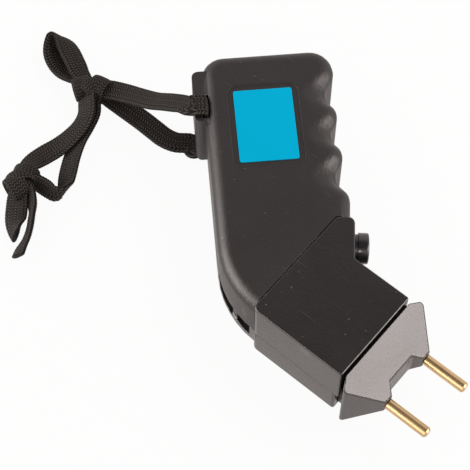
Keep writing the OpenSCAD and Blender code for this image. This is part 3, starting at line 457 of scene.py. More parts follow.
LAY_LONG = [
    (-57.5, -11, 5.4, 34), (-55, -13.5, 4.8, 34), (-49.5, -19, 4.4, 34), (-46.5, -26.5, 4.4, 34),
    (-44, -35, 4.4, 34), (-40, -43.5, 4.4, 34), (-35.5, -51, 4.4, 34), (-32, -56, 5, 46),
    (-30.8, -59.5, 5.8, 78), (-33, -62.5, 5.8, 104), (-37.5, -63, 5.8, 114), (-43.5, -64, 6.2, 108),
    (-47.2, -66.5, 6.3, 95), (-46.5, -69, 6.3, 78), (-43, -69.5, 6.4, 62), (-36, -74, 6, 70),
    (-32.5, -78.5, 5.9, 72), (-29, -83.5, 5.9, 70), (-26.5, -88.5, 5.8, 64), (-25, -93.5, 5.6, 56),
    (-23.5, -97, 5.6, 54)]
print("route points:", sum(len(lay) for lay in (LAY_OVER, LAY_UNDER, LAY_BOW, LAY_SHORT, LAY_LONG)))

# %% Lace pieces
STEEP, UPRIGHT = 0.3, 0.9
LEVEL_REACH, SIDE_REACH = 12, 8
PATH_STEP = 8


def lace_piece(name, rows, way):
    """A lace along rows of x, y, height and tilt; way is the heading for stretches that run straight up."""
    points = np.array(rows, float)
    points[:, 0] = points[:, 0] * MM + LUG[0]
    points[:, 1] = points[:, 1] * MM + LUG[1]
    points[:, 2] *= MM
    line, run = smooth_route(points)
    route, tilt = line[:, :3], np.radians(line[:, 3:4])
    ahead = unit(np.gradient(route, axis=0))
    level = np.column_stack([-ahead[:, 1], ahead[:, 0], np.zeros(len(ahead))])
    reference = np.array([-way[1], way[0], 0.0])
    level[np.linalg.norm(level, axis=1) < STEEP] = reference
    if abs(ahead[:, 2]).max() > UPRIGHT:
        level *= np.where(level @ reference < 0, -1.0, 1.0)[:, None]
    level = unit(soften(unit(level), LEVEL_REACH))
    side = np.cos(tilt) * level + np.sin(tilt) * np.array([0, 0, 1.0])
    side = unit(soften(side, SIDE_REACH))
    corners, faces, raised = lace_sweep(route, run, side, LACE_W, LACE_T)
    n = len(route)
    ends = [list(range(SECTION_POINTS))[::-1], list(range((n - 1) * SECTION_POINTS, n * SECTION_POINTS))]
    piece = mesh_piece(name, corners, faces, raised, ends)
    print(name, "length", round(run[-1] / MM, 1), "mm")
    return piece, route[::PATH_STEP], run[-1]


SLOT_WAY = (DIAGONAL, DIAGONAL)
LAYS = {
    "cord_over_lug": (LAY_OVER, SLOT_WAY),
    "cord_under_lug": (LAY_UNDER, SLOT_WAY),
    "cord_bow_lace": (LAY_BOW, (-1, 0)),
    "cord_short_lace": (LAY_SHORT, (0, -1)),
    "cord_long_lace": (LAY_LONG, (0, -1))}
laces = {name: lace_piece(name, *lay) for name, lay in LAYS.items()}

# %% [markdown]
# ## Wrist cord: the knots
# A knot in flat lace is a lump of bands that wrap round the strands and squeeze together.
# Each band is the same lace swept round a slanting oval, and one band crosses over the others.

# %% Knots
BAND_POINTS = 24
BAND_T = 0.9 * LACE_T


def knot_piece(name, spot, angle, bands):
    """A knot of lace bands round an axis that lies level; a band is shift, slant, roll, radii and width."""
    axis = np.array([math.cos(angle), math.sin(angle), 0.0])
    flat = np.array([-axis[1], axis[0], 0.0])
    rise = np.array([0.0, 0.0, 1.0])
    centre = np.array([LUG[0] + spot[0] * MM, LUG[1] + spot[1] * MM, spot[2] * MM])
    corners, faces, raised = [], [], []
    count = 0
    for shift, slant, roll, wide, high, width in bands:
        turn = np.linspace(0, 2 * math.pi, BAND_POINTS, endpoint=False)
        slant, roll = math.radians(slant), math.radians(roll)
        tip = math.cos(slant) * axis + math.sin(slant) * (math.cos(roll) * flat + math.sin(roll) * rise)
        u = flat - (flat @ tip) * tip
        u /= np.linalg.norm(u)
        v = np.cross(tip, u)
        points = (centre + shift * MM * axis + np.outer(np.cos(turn) * wide * MM, u)
                  + np.outer(np.sin(turn) * high * MM, v))
        route, run = smooth_route(points, closed=True)
        side = np.tile(tip, (len(route), 1))
        c, f, r = lace_sweep(route, run, side, width * MM, BAND_T, closed=True)
        corners.append(c)
        faces.append(f + count)
        raised.append(r)
        count += len(c)
    return mesh_piece(name, np.vstack(corners), np.vstack(faces), np.concatenate(raised))


knot_one = knot_piece("knot_one_wraps", (-58.5, -10, 7), math.radians(40), [
    (-5.0, 18, 0, 4.7, 4.9, 6.0), (4.4, -28, 0, 5.3, 5.3, 9.0), (0.0, 38, 20, 6.2, 5.6, 6.4),
    (0.0, 0, 0, 2.2, 2.2, 13.0)])
knot_two = knot_piece("knot_two_wraps", (-48.5, -68.5, 7), math.radians(100), [
    (-3.6, -24, 0, 5.4, 5.4, 9.0), (4.2, 16, 0, 5.2, 5.2, 6.6), (0.6, -46, 170, 6.6, 5.5, 5.6),
    (0.0, 0, 0, 2.2, 2.2, 13.0)])
print("knots:", knot_one.name, knot_two.name)

def stand_for(piece, body, slot, *nodes):
    """Makes a piece ride on a body in place of CAD nodes, which are hidden. The slot is not used."""
    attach(piece, body)
    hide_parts(*nodes)


def declare(name, nodes):
    """Makes a lace ride on the body in place of CAD nodes."""
    piece, path, length = laces[name]
    stand_for(piece, "body", "lace_black", *nodes)


stand_for(knot_one, "body", "lace_black", "knot_one")
stand_for(knot_two, "body", "lace_black", "knot_two")
declare("cord_over_lug", ["cord_loop"])
declare("cord_under_lug", ["cord_loop"])
declare("cord_bow_lace", ["cord_bow"])
declare("cord_short_lace", ["cord_strand_short", "cord_end_loop"])
declare("cord_long_lace", ["cord_strand_long", "cord_tail"])
print("cords declared:", len(laces))

# %% [markdown]
# ## Black lace finish
# Braided polyester is black, but its raised yarns catch the light and look grey-brown.
# The stitch attribute of the mesh says how high each point stands, so it drives the colour: the raised yarns
# get a painted highlight and the gaps between them painted shade. A fine noise gives the fibres.

# %% Lace finish
LACE_BLACK_AND_SHADE, LACE_PAINTED_HIGHLIGHT = (0.0022, 0.002, 0.0018, 1), (0.100, 0.086, 0.076, 1)
LACE_ROUGH = 0.72
FIBRE_PART, STITCH_PART, PAINTED_SHADE_END = 0.40, 0.80, 0.45
lace_finish, tree, shader = new_material("black_lace")
stitch = add_node(tree, "ShaderNodeAttribute", attribute_name="stitch").outputs["Fac"]
fibre = add_node(tree, "ShaderNodeTexNoise", Vector=object_spot(tree), Scale=5200.0, Detail=3.0,
                 Roughness=0.6).outputs["Fac"]
height = calc(tree, "MULTIPLY_ADD", fibre, FIBRE_PART, calc(tree, "MULTIPLY", stitch, STITCH_PART))
# Painted light: raised stitches are painted pale as a highlight, and the gaps dark as shade.
tone = add_node(tree, "ShaderNodeValToRGB", Fac=height)
low, high = tone.color_ramp.elements
low.color = LACE_BLACK_AND_SHADE
low.position = PAINTED_SHADE_END
high.color = LACE_PAINTED_HIGHLIGHT
relief = add_node(tree, "ShaderNodeBump", Strength=0.5, Distance=0.0002, Height=fibre)
surface(tree, shader, tone.outputs["Color"], LACE_ROUGH, relief, Specular_IOR_Level=0.14,
        Sheen_Weight=0.03)
soft_pieces = [lace[0] for lace in laces.values()] + [knot_one, knot_two]
dress(lace_finish, *soft_pieces)
print("lace finish on", len(soft_pieces), "pieces")

# %% [markdown]
# ## Moulded shells
# The grip halves, the head, the battery cover and the nose are injection mouldings. The CAD model gives
# their true walls, posts and cut-outs, but its edges are knife sharp, and no mould makes a sharp edge.
# Each shell is copied, its loose triangles are merged, its long sharp edges get a narrow bevel,
# and the flat faces keep flat shading by weighted normals. A rib that is too narrow for the bevel is left
# sharp. The bevel strips are remembered in a face attribute, because hands and tables rub the plastic there,
# and their paler colour is also a painted highlight along the edges.

# %% Edges to round
SHARP_ANGLE = math.radians(40)
ROOM_PARTS = (0.1, 0.5, 0.9)


def has_room(loop, room):
    """Says whether the face beside an edge is at least as wide as room, near both ends and in the middle."""
    start, end = loop.vert.co, loop.link_loop_next.vert.co
    inward = loop.face.normal.cross((end - start).normalized())
    spots = [start.lerp(end, part) + inward * room for part in ROOM_PARTS]
    return all(bmesh.geometry.intersect_face_point(loop.face, spot) for spot in spots)


def weigh_edges(mesh, least_length, room, share):
    """Gives every long sharp edge a bevel weight: the share of the full radius at the middle of the edge."""
    weights = mesh.attributes.new("bevel_weight_edge", "FLOAT", "EDGE")
    shape = bmesh.new()
    shape.from_mesh(mesh)
    shape.normal_update()
    sharp = np.zeros(len(shape.edges), np.float32)
    for edge in shape.edges:
        if len(edge.link_faces) != 2 or edge.calc_length() < least_length:
            continue
        if edge.calc_face_angle() < SHARP_ANGLE:
            continue
        if room == 0 or all(has_room(loop, room) for loop in edge.link_loops):
            sharp[edge.index] = share((edge.verts[0].co + edge.verts[1].co) / 2)
    weights.data.foreach_set("value", sharp)
    shape.free()
    return int((sharp > 0).sum())


def even_share(middle):
    """The same radius on every edge."""
    return 1.0


print("edges sharper than", round(math.degrees(SHARP_ANGLE)), "degrees are rounded")

# %% Moulded copy
STRIP = 1
MERGE = 0.000004
FLAT_ANGLE = math.radians(0.5)
FACE_WEIGHT = 60


def apply_modifier(piece, name, kind, **values):
    """Adds a modifier with its values and applies it at once."""
    modifier = piece.modifiers.new(name, kind)
    for key, value in values.items():
        setattr(modifier, key, value)
    pick(piece)
    bpy.ops.object.modifier_apply(modifier=name)


def note_rubbed_edges(mesh):
    """Stores 1 in the attribute rub on the faces of the bevel strips, and clears their material number."""
    numbers = np.zeros(len(mesh.polygons), np.int32)
    mesh.polygons.foreach_get("material_index", numbers)
    rub = mesh.attributes.new("rub", "FLOAT", "FACE")
    rub.data.foreach_set("value", (numbers == STRIP).astype(np.float32))
    mesh.polygons.foreach_set("material_index", np.zeros(len(mesh.polygons), np.int32))


def moulded_copy(node, name, radius, share=even_share, reshape=None, segments=2, smooth=32, least=1.2,
                 room=0.6, body="body", slot="black_plastic"):
    """A copy of a CAD shell with merged corners and rounded edges, which stands for the shell."""
    piece = add_object(name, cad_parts[node].data.copy())
    piece.data.materials.clear()
    for place in range(STRIP + 1):
        piece.data.materials.append(None)
    edit_all(piece)
    bpy.ops.mesh.remove_doubles(threshold=MERGE)
    bpy.ops.mesh.dissolve_limited(angle_limit=FLAT_ANGLE)
    bpy.ops.object.mode_set(mode="OBJECT")
    if reshape:
        reshape(piece.data)
    rounded = weigh_edges(piece.data, least * MM, room * MM, share)
    apply_modifier(piece, "edge", "BEVEL", width=radius * MM, segments=segments, limit_method="WEIGHT",
                   use_clamp_overlap=False, material=STRIP, loop_slide=False)
    note_rubbed_edges(piece.data)
    piece.data.materials.clear()
    pick(piece)
    bpy.ops.object.shade_smooth_by_angle(angle=math.radians(smooth))
    apply_modifier(piece, "weigh", "WEIGHTED_NORMAL", keep_sharp=True, weight=FACE_WEIGHT)
    stand_for(piece, body, slot, node)
    print(name, "rounded edges:", rounded, "faces:", len(piece.data.polygons))
    return piece


print("shell helpers ready")

# %% [markdown]
# ## Finger hollows
# On the real grip the finger scallops don't stop at the rounded edge. They run out on the flat face in
# shallow hollows, deepest beside each valley. The flat face has no corners to move there, so a fine net is
# cut into it with bisect planes, and the net is then lowered by a smooth curve that is zero at the label,
# the seam and the butt. The valleys are found by casting rays at the side of the shell.

# %% Places on the grip
LUG_S = 86.9
BUTT_WAY = Vector((-DIAGONAL, DIAGONAL, 0.0))
BACK_WAY = Vector((-DIAGONAL, -DIAGONAL, 0.0))


def grip_place(spot):
    """Millimetres along the grip and back from its axis, for a point in metres."""
    from_lug = Vector((spot.x - LUG[0], spot.y - LUG[1], 0.0)) / MM
    return LUG_S + from_lug.dot(BUTT_WAY), LUG_BACK + from_lug.dot(BACK_WAY)


def grip_spot(along, back, height):
    """The point in metres for a place along the grip, back from its axis and up."""
    spot = Vector((LUG[0], LUG[1], height * MM))
    return spot + BUTT_WAY * (along - LUG_S) * MM + BACK_WAY * (back - LUG_BACK) * MM


def ease(t):
    """A smooth step from 0 to 1."""
    t = min(1.0, max(0.0, t))
    return t * t * (3 - 2 * t)


print("lug at", LUG_S, "mm along the grip")

# %% Finger hollows
BODY_T = 40.0
GRIP_LEN = 114.0
SEAM_X = 4.33 * MM
NET_START, NET_END = 26.0, 112.0
NET_EDGE, NET_OUTER = -15.2, -33.0
NET_PITCH = 1.3
HOLLOW_REACH = 11.8
HOLLOW_DEPTH, VALLEY_DEPTH = 1.9, 0.8
SIDE_MIDDLE, SIDE_SWING = -29.0, 2.0
RAY_STEP, RAY_START, RAY_DEPTH = 0.5, -60.0, 12.0
EDGE_DEPTH, EDGE_FADE, EDGE_TILT = 7.0, 5.0, 0.12
SEAM_FADE = 11.0
BUTT_GAP, BUTT_FADE = 3.0, 13.0


def hollow_fingers(mesh, top, up):
    """Cuts the net into the face at height top, which looks up (1) or down (-1), and lowers the net."""
    shape = bmesh.new()
    shape.from_mesh(mesh)
    walls = BVHTree.FromBMesh(shape)
    runs = np.arange(NET_START, NET_END, RAY_STEP)
    side = []
    for along in runs:
        hit = walls.ray_cast(grip_spot(along, RAY_START, top - RAY_DEPTH * up), BACK_WAY)[0]
        side.append(grip_place(hit)[1])

    def outer_faces(edge):
        found = []
        for face in shape.faces:
            middle = face.calc_center_median()
            outer = up * (top - middle.z / MM) < EDGE_DEPTH and up * face.normal.z > EDGE_TILT
            if outer and (edge is None or grip_place(middle)[1] < edge):
                found.append(face)
        return found

    def cut(faces, spot, way):
        edges = {edge for face in faces for edge in face.edges}
        corners = {corner for face in faces for corner in face.verts}
        net = faces + list(edges) + list(corners)
        bmesh.ops.bisect_plane(shape, geom=net, dist=1e-6, plane_co=spot, plane_no=way)

    cut(outer_faces(None), grip_spot(0.0, NET_EDGE, top), BACK_WAY)
    for along in np.arange(NET_START, NET_END, NET_PITCH):
        cut(outer_faces(NET_EDGE), grip_spot(along, 0.0, top), BUTT_WAY)
    for back in np.arange(NET_EDGE - NET_PITCH, NET_OUTER, -NET_PITCH):
        cut(outer_faces(NET_EDGE), grip_spot(0.0, back, top), BACK_WAY)
    deepest = 0.0
    for corner in {corner for face in outer_faces(NET_EDGE) for corner in face.verts}:
        along, back = grip_place(corner.co)
        edge = float(np.interp(along, runs, side))
        valley = min(1.0, max(-1.0, (edge - SIDE_MIDDLE) / SIDE_SWING))
        drop = (HOLLOW_DEPTH + VALLEY_DEPTH * valley) * ease(1 - (back - edge) / HOLLOW_REACH)
        drop *= ease((SEAM_X - corner.co.x) / (SEAM_FADE * MM))
        drop *= ease((GRIP_LEN - BUTT_GAP - along) / BUTT_FADE)
        drop *= ease((EDGE_DEPTH - up * (top - corner.co.z / MM)) / EDGE_FADE)
        corner.co.z -= up * drop * MM
        deepest = max(deepest, drop)
    shape.to_mesh(mesh)
    shape.free()
    print("finger hollows:", round(deepest, 2), "mm deep")


def hollow_near(mesh):
    """Hollows on the face that looks up."""
    hollow_fingers(mesh, BODY_T, 1)


def hollow_far(mesh):
    """Hollows on the face that the grip lies on."""
    hollow_fingers(mesh, 0.0, -1)


print("net pitch:", NET_PITCH, "mm")

# %% [markdown]
# ## How round each edge is
# A mould has fine edges where two parts meet, so that the joint stays tight, and softer ones where a hand
# goes. One radius for a whole shell would lose that, so a rule gives every edge its share of the shell's
# full radius. An edge with a share of 0 stays sharp.

# %% Edge shares
SEAM_SHARE, SEAM_BAND = 0.45, 0.4 * MM
HEAD_FINE_SHARE = 0.28
HEAD_TOP, HEAD_LEFT = 39.0 * MM, -59.0 * MM
PRONG_YS, PRONG_Z, BORE_R = (-49.147, -22.447), 20.0, 3.2
NOSE_BACK, RIM_BAND = 54.08, 0.3
HOLLOW_FRONT, HOLLOW_LEFT, HOLLOW_RIGHT, HOLLOW_LOW, HOLLOW_HIGH = 61.0, -54.0, -17.5, 9.0, 31.0
RIM_LEFT, RIM_RIGHT, RIM_LOW, RIM_HIGH = -57.9, -13.7, 2.0, 38.0
RIM_SHARE, OUTER_SHARE = 0.38, 0.55


def grip_share(middle):
    """A fine edge at the seam with the head, which shows as a thin line, and the full radius elsewhere."""
    return SEAM_SHARE if abs(middle.x - SEAM_X) < SEAM_BAND else 1.0


def head_share(middle):
    """A soft edge between the top and the long left wall, and a fine edge elsewhere."""
    return 1.0 if middle.z > HEAD_TOP and middle.y < HEAD_LEFT else HEAD_FINE_SHARE


def nose_share(middle):
    """A soft back rim and rounded outer edges. The spigot, the hollow and the prong bores stay crisp."""
    x, y, z = middle / MM
    from_prong = min(math.hypot(y - prong_y, z - PRONG_Z) for prong_y in PRONG_YS)
    in_hollow = x < HOLLOW_FRONT and HOLLOW_LEFT < y < HOLLOW_RIGHT and HOLLOW_LOW < z < HOLLOW_HIGH
    if x < NOSE_BACK - RIM_BAND or in_hollow or from_prong < BORE_R:
        return 0.0
    if x < NOSE_BACK + RIM_BAND:
        on_rim = z > RIM_HIGH or z < RIM_LOW or y > RIM_RIGHT or y < RIM_LEFT
        return RIM_SHARE if on_rim else 0.0
    return OUTER_SHARE


print("edge shares ready")

# %% Shells
TINY_EDGE = 0.3 * MM


def close_corners(mesh):
    """Draws the tiny steps in each outer corner of the nose together, to be rounded as one."""
    shape = bmesh.new()
    shape.from_mesh(mesh)
    outer = [edge for edge in shape.edges if min(nose_share(corner.co) for corner in edge.verts) > 0]
    bmesh.ops.collapse(shape, edges=[edge for edge in outer if edge.calc_length() < TINY_EDGE])
    shape.to_mesh(mesh)
    shape.free()


grip_near = moulded_copy("grip_shell_near", "grip_near_moulding", 0.25, grip_share, hollow_near)
grip_far = moulded_copy("grip_shell_far", "grip_far_moulding", 0.25, grip_share, hollow_far)
head = moulded_copy("head_housing", "head_moulding", 0.9, head_share)
cover = moulded_copy("battery_cover", "cover_moulding", 0.25, body="cover")
nose = moulded_copy("nose_cap", "nose_moulding", 1.8, nose_share, close_corners, segments=4, smooth=40,
                    least=0.3, room=0)

# %% [markdown]
# ## Shared surface effects
# Three effects turn up on more than one finish, so each is a node group that is built once.
# Moulded skin is the fine spark-eroded grain that a mould leaves. Handling marks are dust specks, hairline
# scratches and greasy smudges. Turned lines, further down, are the fine rings that a lathe leaves on metal.
# Each group only gives masks and heights. The material that uses it decides what they do.

# %% Moulded skin group
COARSE_SCALE, COARSE_PART = 0.45, 0.5
SPECK_FADE = (0.58, 0.78)
skin_group, skin_in, skin_out = new_group(
    "moulded_skin", [("Vector", VECTOR, None), ("Grain", FLOAT, 1700.0)],
    [("Height", FLOAT), ("Speck", FLOAT)])
spot, grain = skin_in["Vector"], skin_in["Grain"]
fine = add_node(skin_group, "ShaderNodeTexNoise", Vector=spot, Scale=grain, Detail=2.0,
                Roughness=0.55).outputs["Fac"]
coarse = add_node(skin_group, "ShaderNodeTexVoronoi", feature="SMOOTH_F1", Vector=spot,
                  Scale=calc(skin_group, "MULTIPLY", grain, COARSE_SCALE), Smoothness=0.6)
height = calc(skin_group, "MULTIPLY_ADD", coarse.outputs["Distance"], COARSE_PART, fine)
feed(skin_group, skin_out["Height"], height)
feed(skin_group, skin_out["Speck"], ramp(skin_group, fine, *SPECK_FADE))
print("group:", skin_group.name)

# %% Handling marks group
marks_group, marks_in, marks_out = new_group(
    "handling_marks", [("Vector", VECTOR, None), ("Dust", FLOAT, 0.5), ("Scratches", FLOAT, 0.5)],
    [("Dust", FLOAT), ("Scratch", FLOAT), ("Smudge", FLOAT)])
DOT_EDGE, CLOUD_FADE, HAIR_FADE = (0.10, 0.04), (0.48, 0.66), (0.83, 0.90)
SCRATCH_STRETCH = (70.0, 1250.0, 70.0)
SCRATCH_TILT = (0.2, 0.1)
SCRATCH_TURNS = ((0.6, 0.0), (-0.9, 3.7), (2.1, 8.2))
spot = marks_in["Vector"]
grains = add_node(marks_group, "ShaderNodeTexVoronoi", Vector=spot, Scale=260.0, Randomness=1.0)
clouds = add_node(marks_group, "ShaderNodeTexNoise", Vector=spot, Scale=42.0, Detail=2.0)
dots = ramp(marks_group, grains.outputs["Distance"], *DOT_EDGE)
settled = calc(marks_group, "MULTIPLY", dots, ramp(marks_group, clouds.outputs["Fac"], *CLOUD_FADE))
feed(marks_group, marks_out["Dust"], calc(marks_group, "MULTIPLY", settled, marks_in["Dust"]))

lines = None
for turn, shift in SCRATCH_TURNS:
    slant = add_node(marks_group, "ShaderNodeMapping", Vector=spot, Location=(shift, shift * 0.5, 0.0),
                     Rotation=(*SCRATCH_TILT, turn), Scale=SCRATCH_STRETCH).outputs["Vector"]
    streak = add_node(marks_group, "ShaderNodeTexNoise", Vector=slant, Scale=1.0, Detail=0.0)
    hair = ramp(marks_group, streak.outputs["Fac"], *HAIR_FADE)
    lines = hair if lines is None else calc(marks_group, "MAXIMUM", lines, hair)
feed(marks_group, marks_out["Scratch"], calc(marks_group, "MULTIPLY", lines, marks_in["Scratches"]))

palm = add_node(marks_group, "ShaderNodeTexNoise", Vector=spot, Scale=26.0, Detail=3.0, Roughness=0.6,
                Distortion=0.8)
feed(marks_group, marks_out["Smudge"], palm.outputs["Fac"])
print("group:", marks_group.name)

# %% [markdown]
# ## Black plastic
# The shells are black ABS. Black plastic under soft light is never black in a picture: its faces mirror the
# room, and a wall seen at a low angle mirrors the pale table strongly. So the colour is nearly black and the
# gloss does the rest. The grip has a deeper grain than the head and is duller, for the hand.
# Where edges are rubbed the plastic is a little paler and smoother. The paler colour is partly real wear
# and partly a painted highlight along the edges.

# %% Black plastic finish
BLACK = (0.0105, 0.0094, 0.0090, 1.0)
RUBBED_AND_HIGHLIGHT_GREY = (0.10, 0.093, 0.090, 1.0)
DUST_GREY = (0.22, 0.20, 0.19, 1.0)
SCRATCH_GREY = (0.11, 0.10, 0.10, 1.0)
SPECK_LIFT = 2.2
SMUDGE_SHINE, SMUDGE_DULL, WORN_SHINE = 0.06, 0.10, 0.10
PLASTIC_GRAIN = 1300.0


def blend_value(tree, low, high, mask):
    """A number that goes from low to high by a mask."""
    return ramp(tree, mask, 0.0, 1.0, low, high)


def plastic_finish(name, base, gloss, grain_depth, dust, scratches, index=1.6):
    """Moulded plastic with grain, dust, scratches, smudges, pale rubbed edges that are partly a painted
    highlight, and its refractive index.
    """
    material, tree, shader = new_material(name)
    spot = object_spot(tree)
    skin = use_group(tree, skin_group, Vector=spot, Grain=PLASTIC_GRAIN)
    marks = use_group(tree, marks_group, Vector=spot, Dust=dust, Scratches=scratches)
    rub = add_node(tree, "ShaderNodeAttribute", attribute_name="rub")
    worn_and_highlit = calc(tree, "MULTIPLY", rub.outputs["Fac"], marks["Smudge"])
    colour = mix_colour(tree, base, tuple(SPECK_LIFT * c for c in base[:3]) + (1.0,), skin["Speck"])
    # Rubbed edges: paler from wear and from a painted highlight along the bevel strips.
    colour = mix_colour(tree, colour, RUBBED_AND_HIGHLIGHT_GREY, worn_and_highlit)
    colour = mix_colour(tree, colour, DUST_GREY, marks["Dust"])
    colour = mix_colour(tree, colour, SCRATCH_GREY, marks["Scratch"])
    rough = blend_value(tree, gloss - SMUDGE_SHINE, gloss + SMUDGE_DULL, marks["Smudge"])
    rough = blend_value(tree, rough, gloss - WORN_SHINE, worn_and_highlit)
    relief = add_node(tree, "ShaderNodeBump", Strength=0.5, Distance=grain_depth, Height=skin["Height"])
    surface(tree, shader, colour, rough, relief, IOR=index)
    return material


grip_finish = plastic_finish("black_grip", BLACK, 0.44, 0.0002, 0.9, 0.3, 1.5)
shell_finish = plastic_finish("black_shell", BLACK, 0.25, 0.00012, 0.9, 0.3)
nose_finish = plastic_finish("black_nose", BLACK, 0.30, 0.00012, 0.6, 0.2)
dress(grip_finish, grip_near, grip_far)
dress(shell_finish, head, cover)
dress(nose_finish, nose)
print("black plastic on 5 shells")

# %% [markdown]
# ## Label
# A plain blue self-adhesive plate lies in a shallow recess of the grip. It is a thin sheet with a soft edge,
# so the CAD plate is copied and its rim is bevelled. Its print is a flat colour with a faint streak
# where it was rolled on.

# %% Label
LABEL_BLUE, STREAK_BLUE = (0.0002, 0.43, 0.70, 1.0), (0.001, 0.47, 0.75, 1.0)
LABEL_DUST = (0.35, 0.65, 0.75, 1.0)
LABEL_GLOSS = (0.42, 0.55)
GRIP_TURN = (0.0, 0.0, math.radians(45))
ROLL_STRETCH = (6.0, 90.0, 6.0)
label = moulded_copy("label_plate", "label_face", 0.12, room=0.25, slot="label_blue")
label_finish, tree, shader = new_material("blue_label")
spot = object_spot(tree)
along_grip = add_node(tree, "ShaderNodeMapping", Vector=spot, Rotation=GRIP_TURN, Scale=ROLL_STRETCH)
streak = add_node(tree, "ShaderNodeTexNoise", Vector=along_grip.outputs["Vector"], Scale=1.0, Detail=2.0)
marks = use_group(tree, marks_group, Vector=spot, Dust=0.12, Scratches=0.12)
colour = mix_colour(tree, LABEL_BLUE, STREAK_BLUE, streak.outputs["Fac"])
colour = mix_colour(tree, colour, LABEL_DUST, marks["Dust"])
surface(tree, shader, colour, blend_value(tree, *LABEL_GLOSS, marks["Smudge"]), Specular_IOR_Level=0.02)
dress(label_finish, label)
print("label:", label.name)

# %% [markdown]
# ## Turned pieces: prongs and push button
# The prongs and the button are lathe work. Each is drawn as half a profile, radius against distance along
# the axis, and spun once round. The profiles follow the CAD pieces and add what a lathe leaves: small
# chamfers, shallow rings and a crowned end. After the spin the seam and the poles are merged and the normals
# set outwards.

# %% Lathe helper
SEAM_MERGE = 0.000002
TURNED_SMOOTH = math.radians(30)


def turned_piece(name, profile, start, along, steps=64):
    """Spins a profile of radius and distance, both in millimetres, round an axis through start."""
    along = Vector(along).normalized()
    across = along.cross(Vector((0, 0, 1))).normalized()
    mesh = bpy.data.meshes.new(name)
    corners = [Vector(start) + along * d * MM + across * r * MM for r, d in profile]
    mesh.from_pydata(corners, [(i, i + 1) for i in range(len(corners) - 1)], [])
    piece = add_object(name, mesh)
    edit_all(piece)
    bpy.ops.mesh.spin(steps=steps, angle=2 * math.pi, center=start, axis=along)
    bpy.ops.mesh.select_all(action="SELECT")
    bpy.ops.mesh.remove_doubles(threshold=SEAM_MERGE)
    bpy.ops.mesh.normals_make_consistent(inside=False)
    bpy.ops.object.mode_set(mode="OBJECT")
    bpy.ops.object.shade_smooth_by_angle(angle=TURNED_SMOOTH)
    print(name, "faces:", len(mesh.polygons))
    return piece


print("lathe ready")

# %% Prongs
ROD_R = 2.5
SHANK_R = 2.0
TIP_R = 1.75
ROD_LEN = 21.05
RING_PITCH = 1.3
RING_DEPTH = 0.012
RING_START, RING_POINTS = 0.6, 30
SHOULDER_CUT, CHAMFER = 0.15, 0.75
CHAMFER_BREAK, TIP_BREAK, EDGE_BREAK = 0.68, 0.04, 0.05
CROWN_R, CROWN_RISE = 0.8, 0.05


def prong_profile(low, high):
    """Half a prong between two ends: shank, shoulder, faintly ringed rod and chamfered tip."""
    shoulder = high - ROD_LEN
    first = shoulder + RING_START
    shank = [(0.0, low), (SHANK_R, low), (SHANK_R, shoulder),
             (ROD_R - SHOULDER_CUT, shoulder), (ROD_R, shoulder + SHOULDER_CUT)]
    rod = [(ROD_R - RING_DEPTH * (k % 2), first + k * RING_PITCH / 2) for k in range(RING_POINTS)]
    tip = [(ROD_R, high - CHAMFER), (ROD_R - EDGE_BREAK, high - CHAMFER_BREAK),
           (TIP_R + EDGE_BREAK, high - TIP_BREAK), (TIP_R, high), (CROWN_R, high + CROWN_RISE),
           (0.0, high + CROWN_RISE)]
    return shank + rod + tip


prongs = []
for side in ("left", "right"):
    node = "electrode_" + side
    low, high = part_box(node)
    middle = ((low[1] + high[1]) / 2, (low[2] + high[2]) / 2)
    ends = prong_profile(0.0, (high[0] - low[0]) / MM)
    prong = turned_piece("prong_" + side, ends, (low[0], middle[0], middle[1]), (1, 0, 0), 48)
    stand_for(prong, "body", "brass", node)
    prongs.append(prong)

# %% Push button
BOSS_SPOT = (0.016693, -0.003670, 0.028)
BOSS_WAY = (0.788011, 0.615661, 0.0)
BUTTON_R = 7.0
SKIRT_R, SKIRT_CUT = 6.35, 0.12
SKIRT_LOW, SKIRT_TOP = 1.8, 5.2
STEM_R, STEM_LOW = 2.0, -11.4
STEM_BORE = 2.05
COLLAR_LOW, SEAT_LOW = -9.4, -7.9
button_profile = [
    (0.0, STEM_LOW), (STEM_R - 0.2, STEM_LOW), (STEM_R, STEM_LOW + 0.2), (STEM_R, SKIRT_TOP),
    (SKIRT_R, SKIRT_TOP), (SKIRT_R, SKIRT_LOW), (BUTTON_R - SKIRT_CUT, SKIRT_LOW),
    (BUTTON_R, SKIRT_LOW + SKIRT_CUT), (BUTTON_R, 5.7),
    (6.93, 6.05), (6.75, 6.32), (6.48, 6.5), (6.1, 6.6), (5.2, 6.72), (3.9, 6.88), (2.2, 7.0), (0.9, 7.04),
    (0.0, 7.05)]
button = turned_piece("button_dome", button_profile, BOSS_SPOT, BOSS_WAY)
stand_for(button, "button", "button_plastic", "button_cap")
collar_profile = [
    (STEM_BORE, COLLAR_LOW), (4.85, COLLAR_LOW), (5.0, -9.25), (5.0, 0.02), (6.2, 0.02), (6.3, 0.12),
    (6.3, 3.3), (6.2, 3.52), (6.0, 3.6), (3.6, 3.6), (3.5, 3.5), (3.5, SEAT_LOW), (STEM_BORE, SEAT_LOW),
    (STEM_BORE, COLLAR_LOW)]
collar = turned_piece("button_collar", collar_profile, BOSS_SPOT, BOSS_WAY)
stand_for(collar, "body", "steel", "button_bush")

# %% [markdown]
# ## Return spring
# The spring stands on a seat in the collar and is pressed together by the button, so it is a piece of its
# own.
# It starts from a copy of the CAD coil, with its corners merged.

# %% Return spring
WIRE_SMOOTH = math.radians(50)
spring = add_object("button_coil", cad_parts["button_spring"].data.copy())
edit_all(spring)
bpy.ops.mesh.remove_doubles(threshold=MERGE)
bpy.ops.object.mode_set(mode="OBJECT")
bpy.ops.object.shade_smooth_by_angle(angle=WIRE_SMOOTH)
stand_for(spring, "body", "steel", "button_spring")
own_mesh(spring)
print("spring faces:", len(spring.data.polygons))

# %% [markdown]
# ## Metal finishes
# Brass prongs are bare metal: warm, fairly smooth, with fine rings from the lathe and dull patches of
# tarnish. Steel, tin and copper inside use the same tree with other colours.

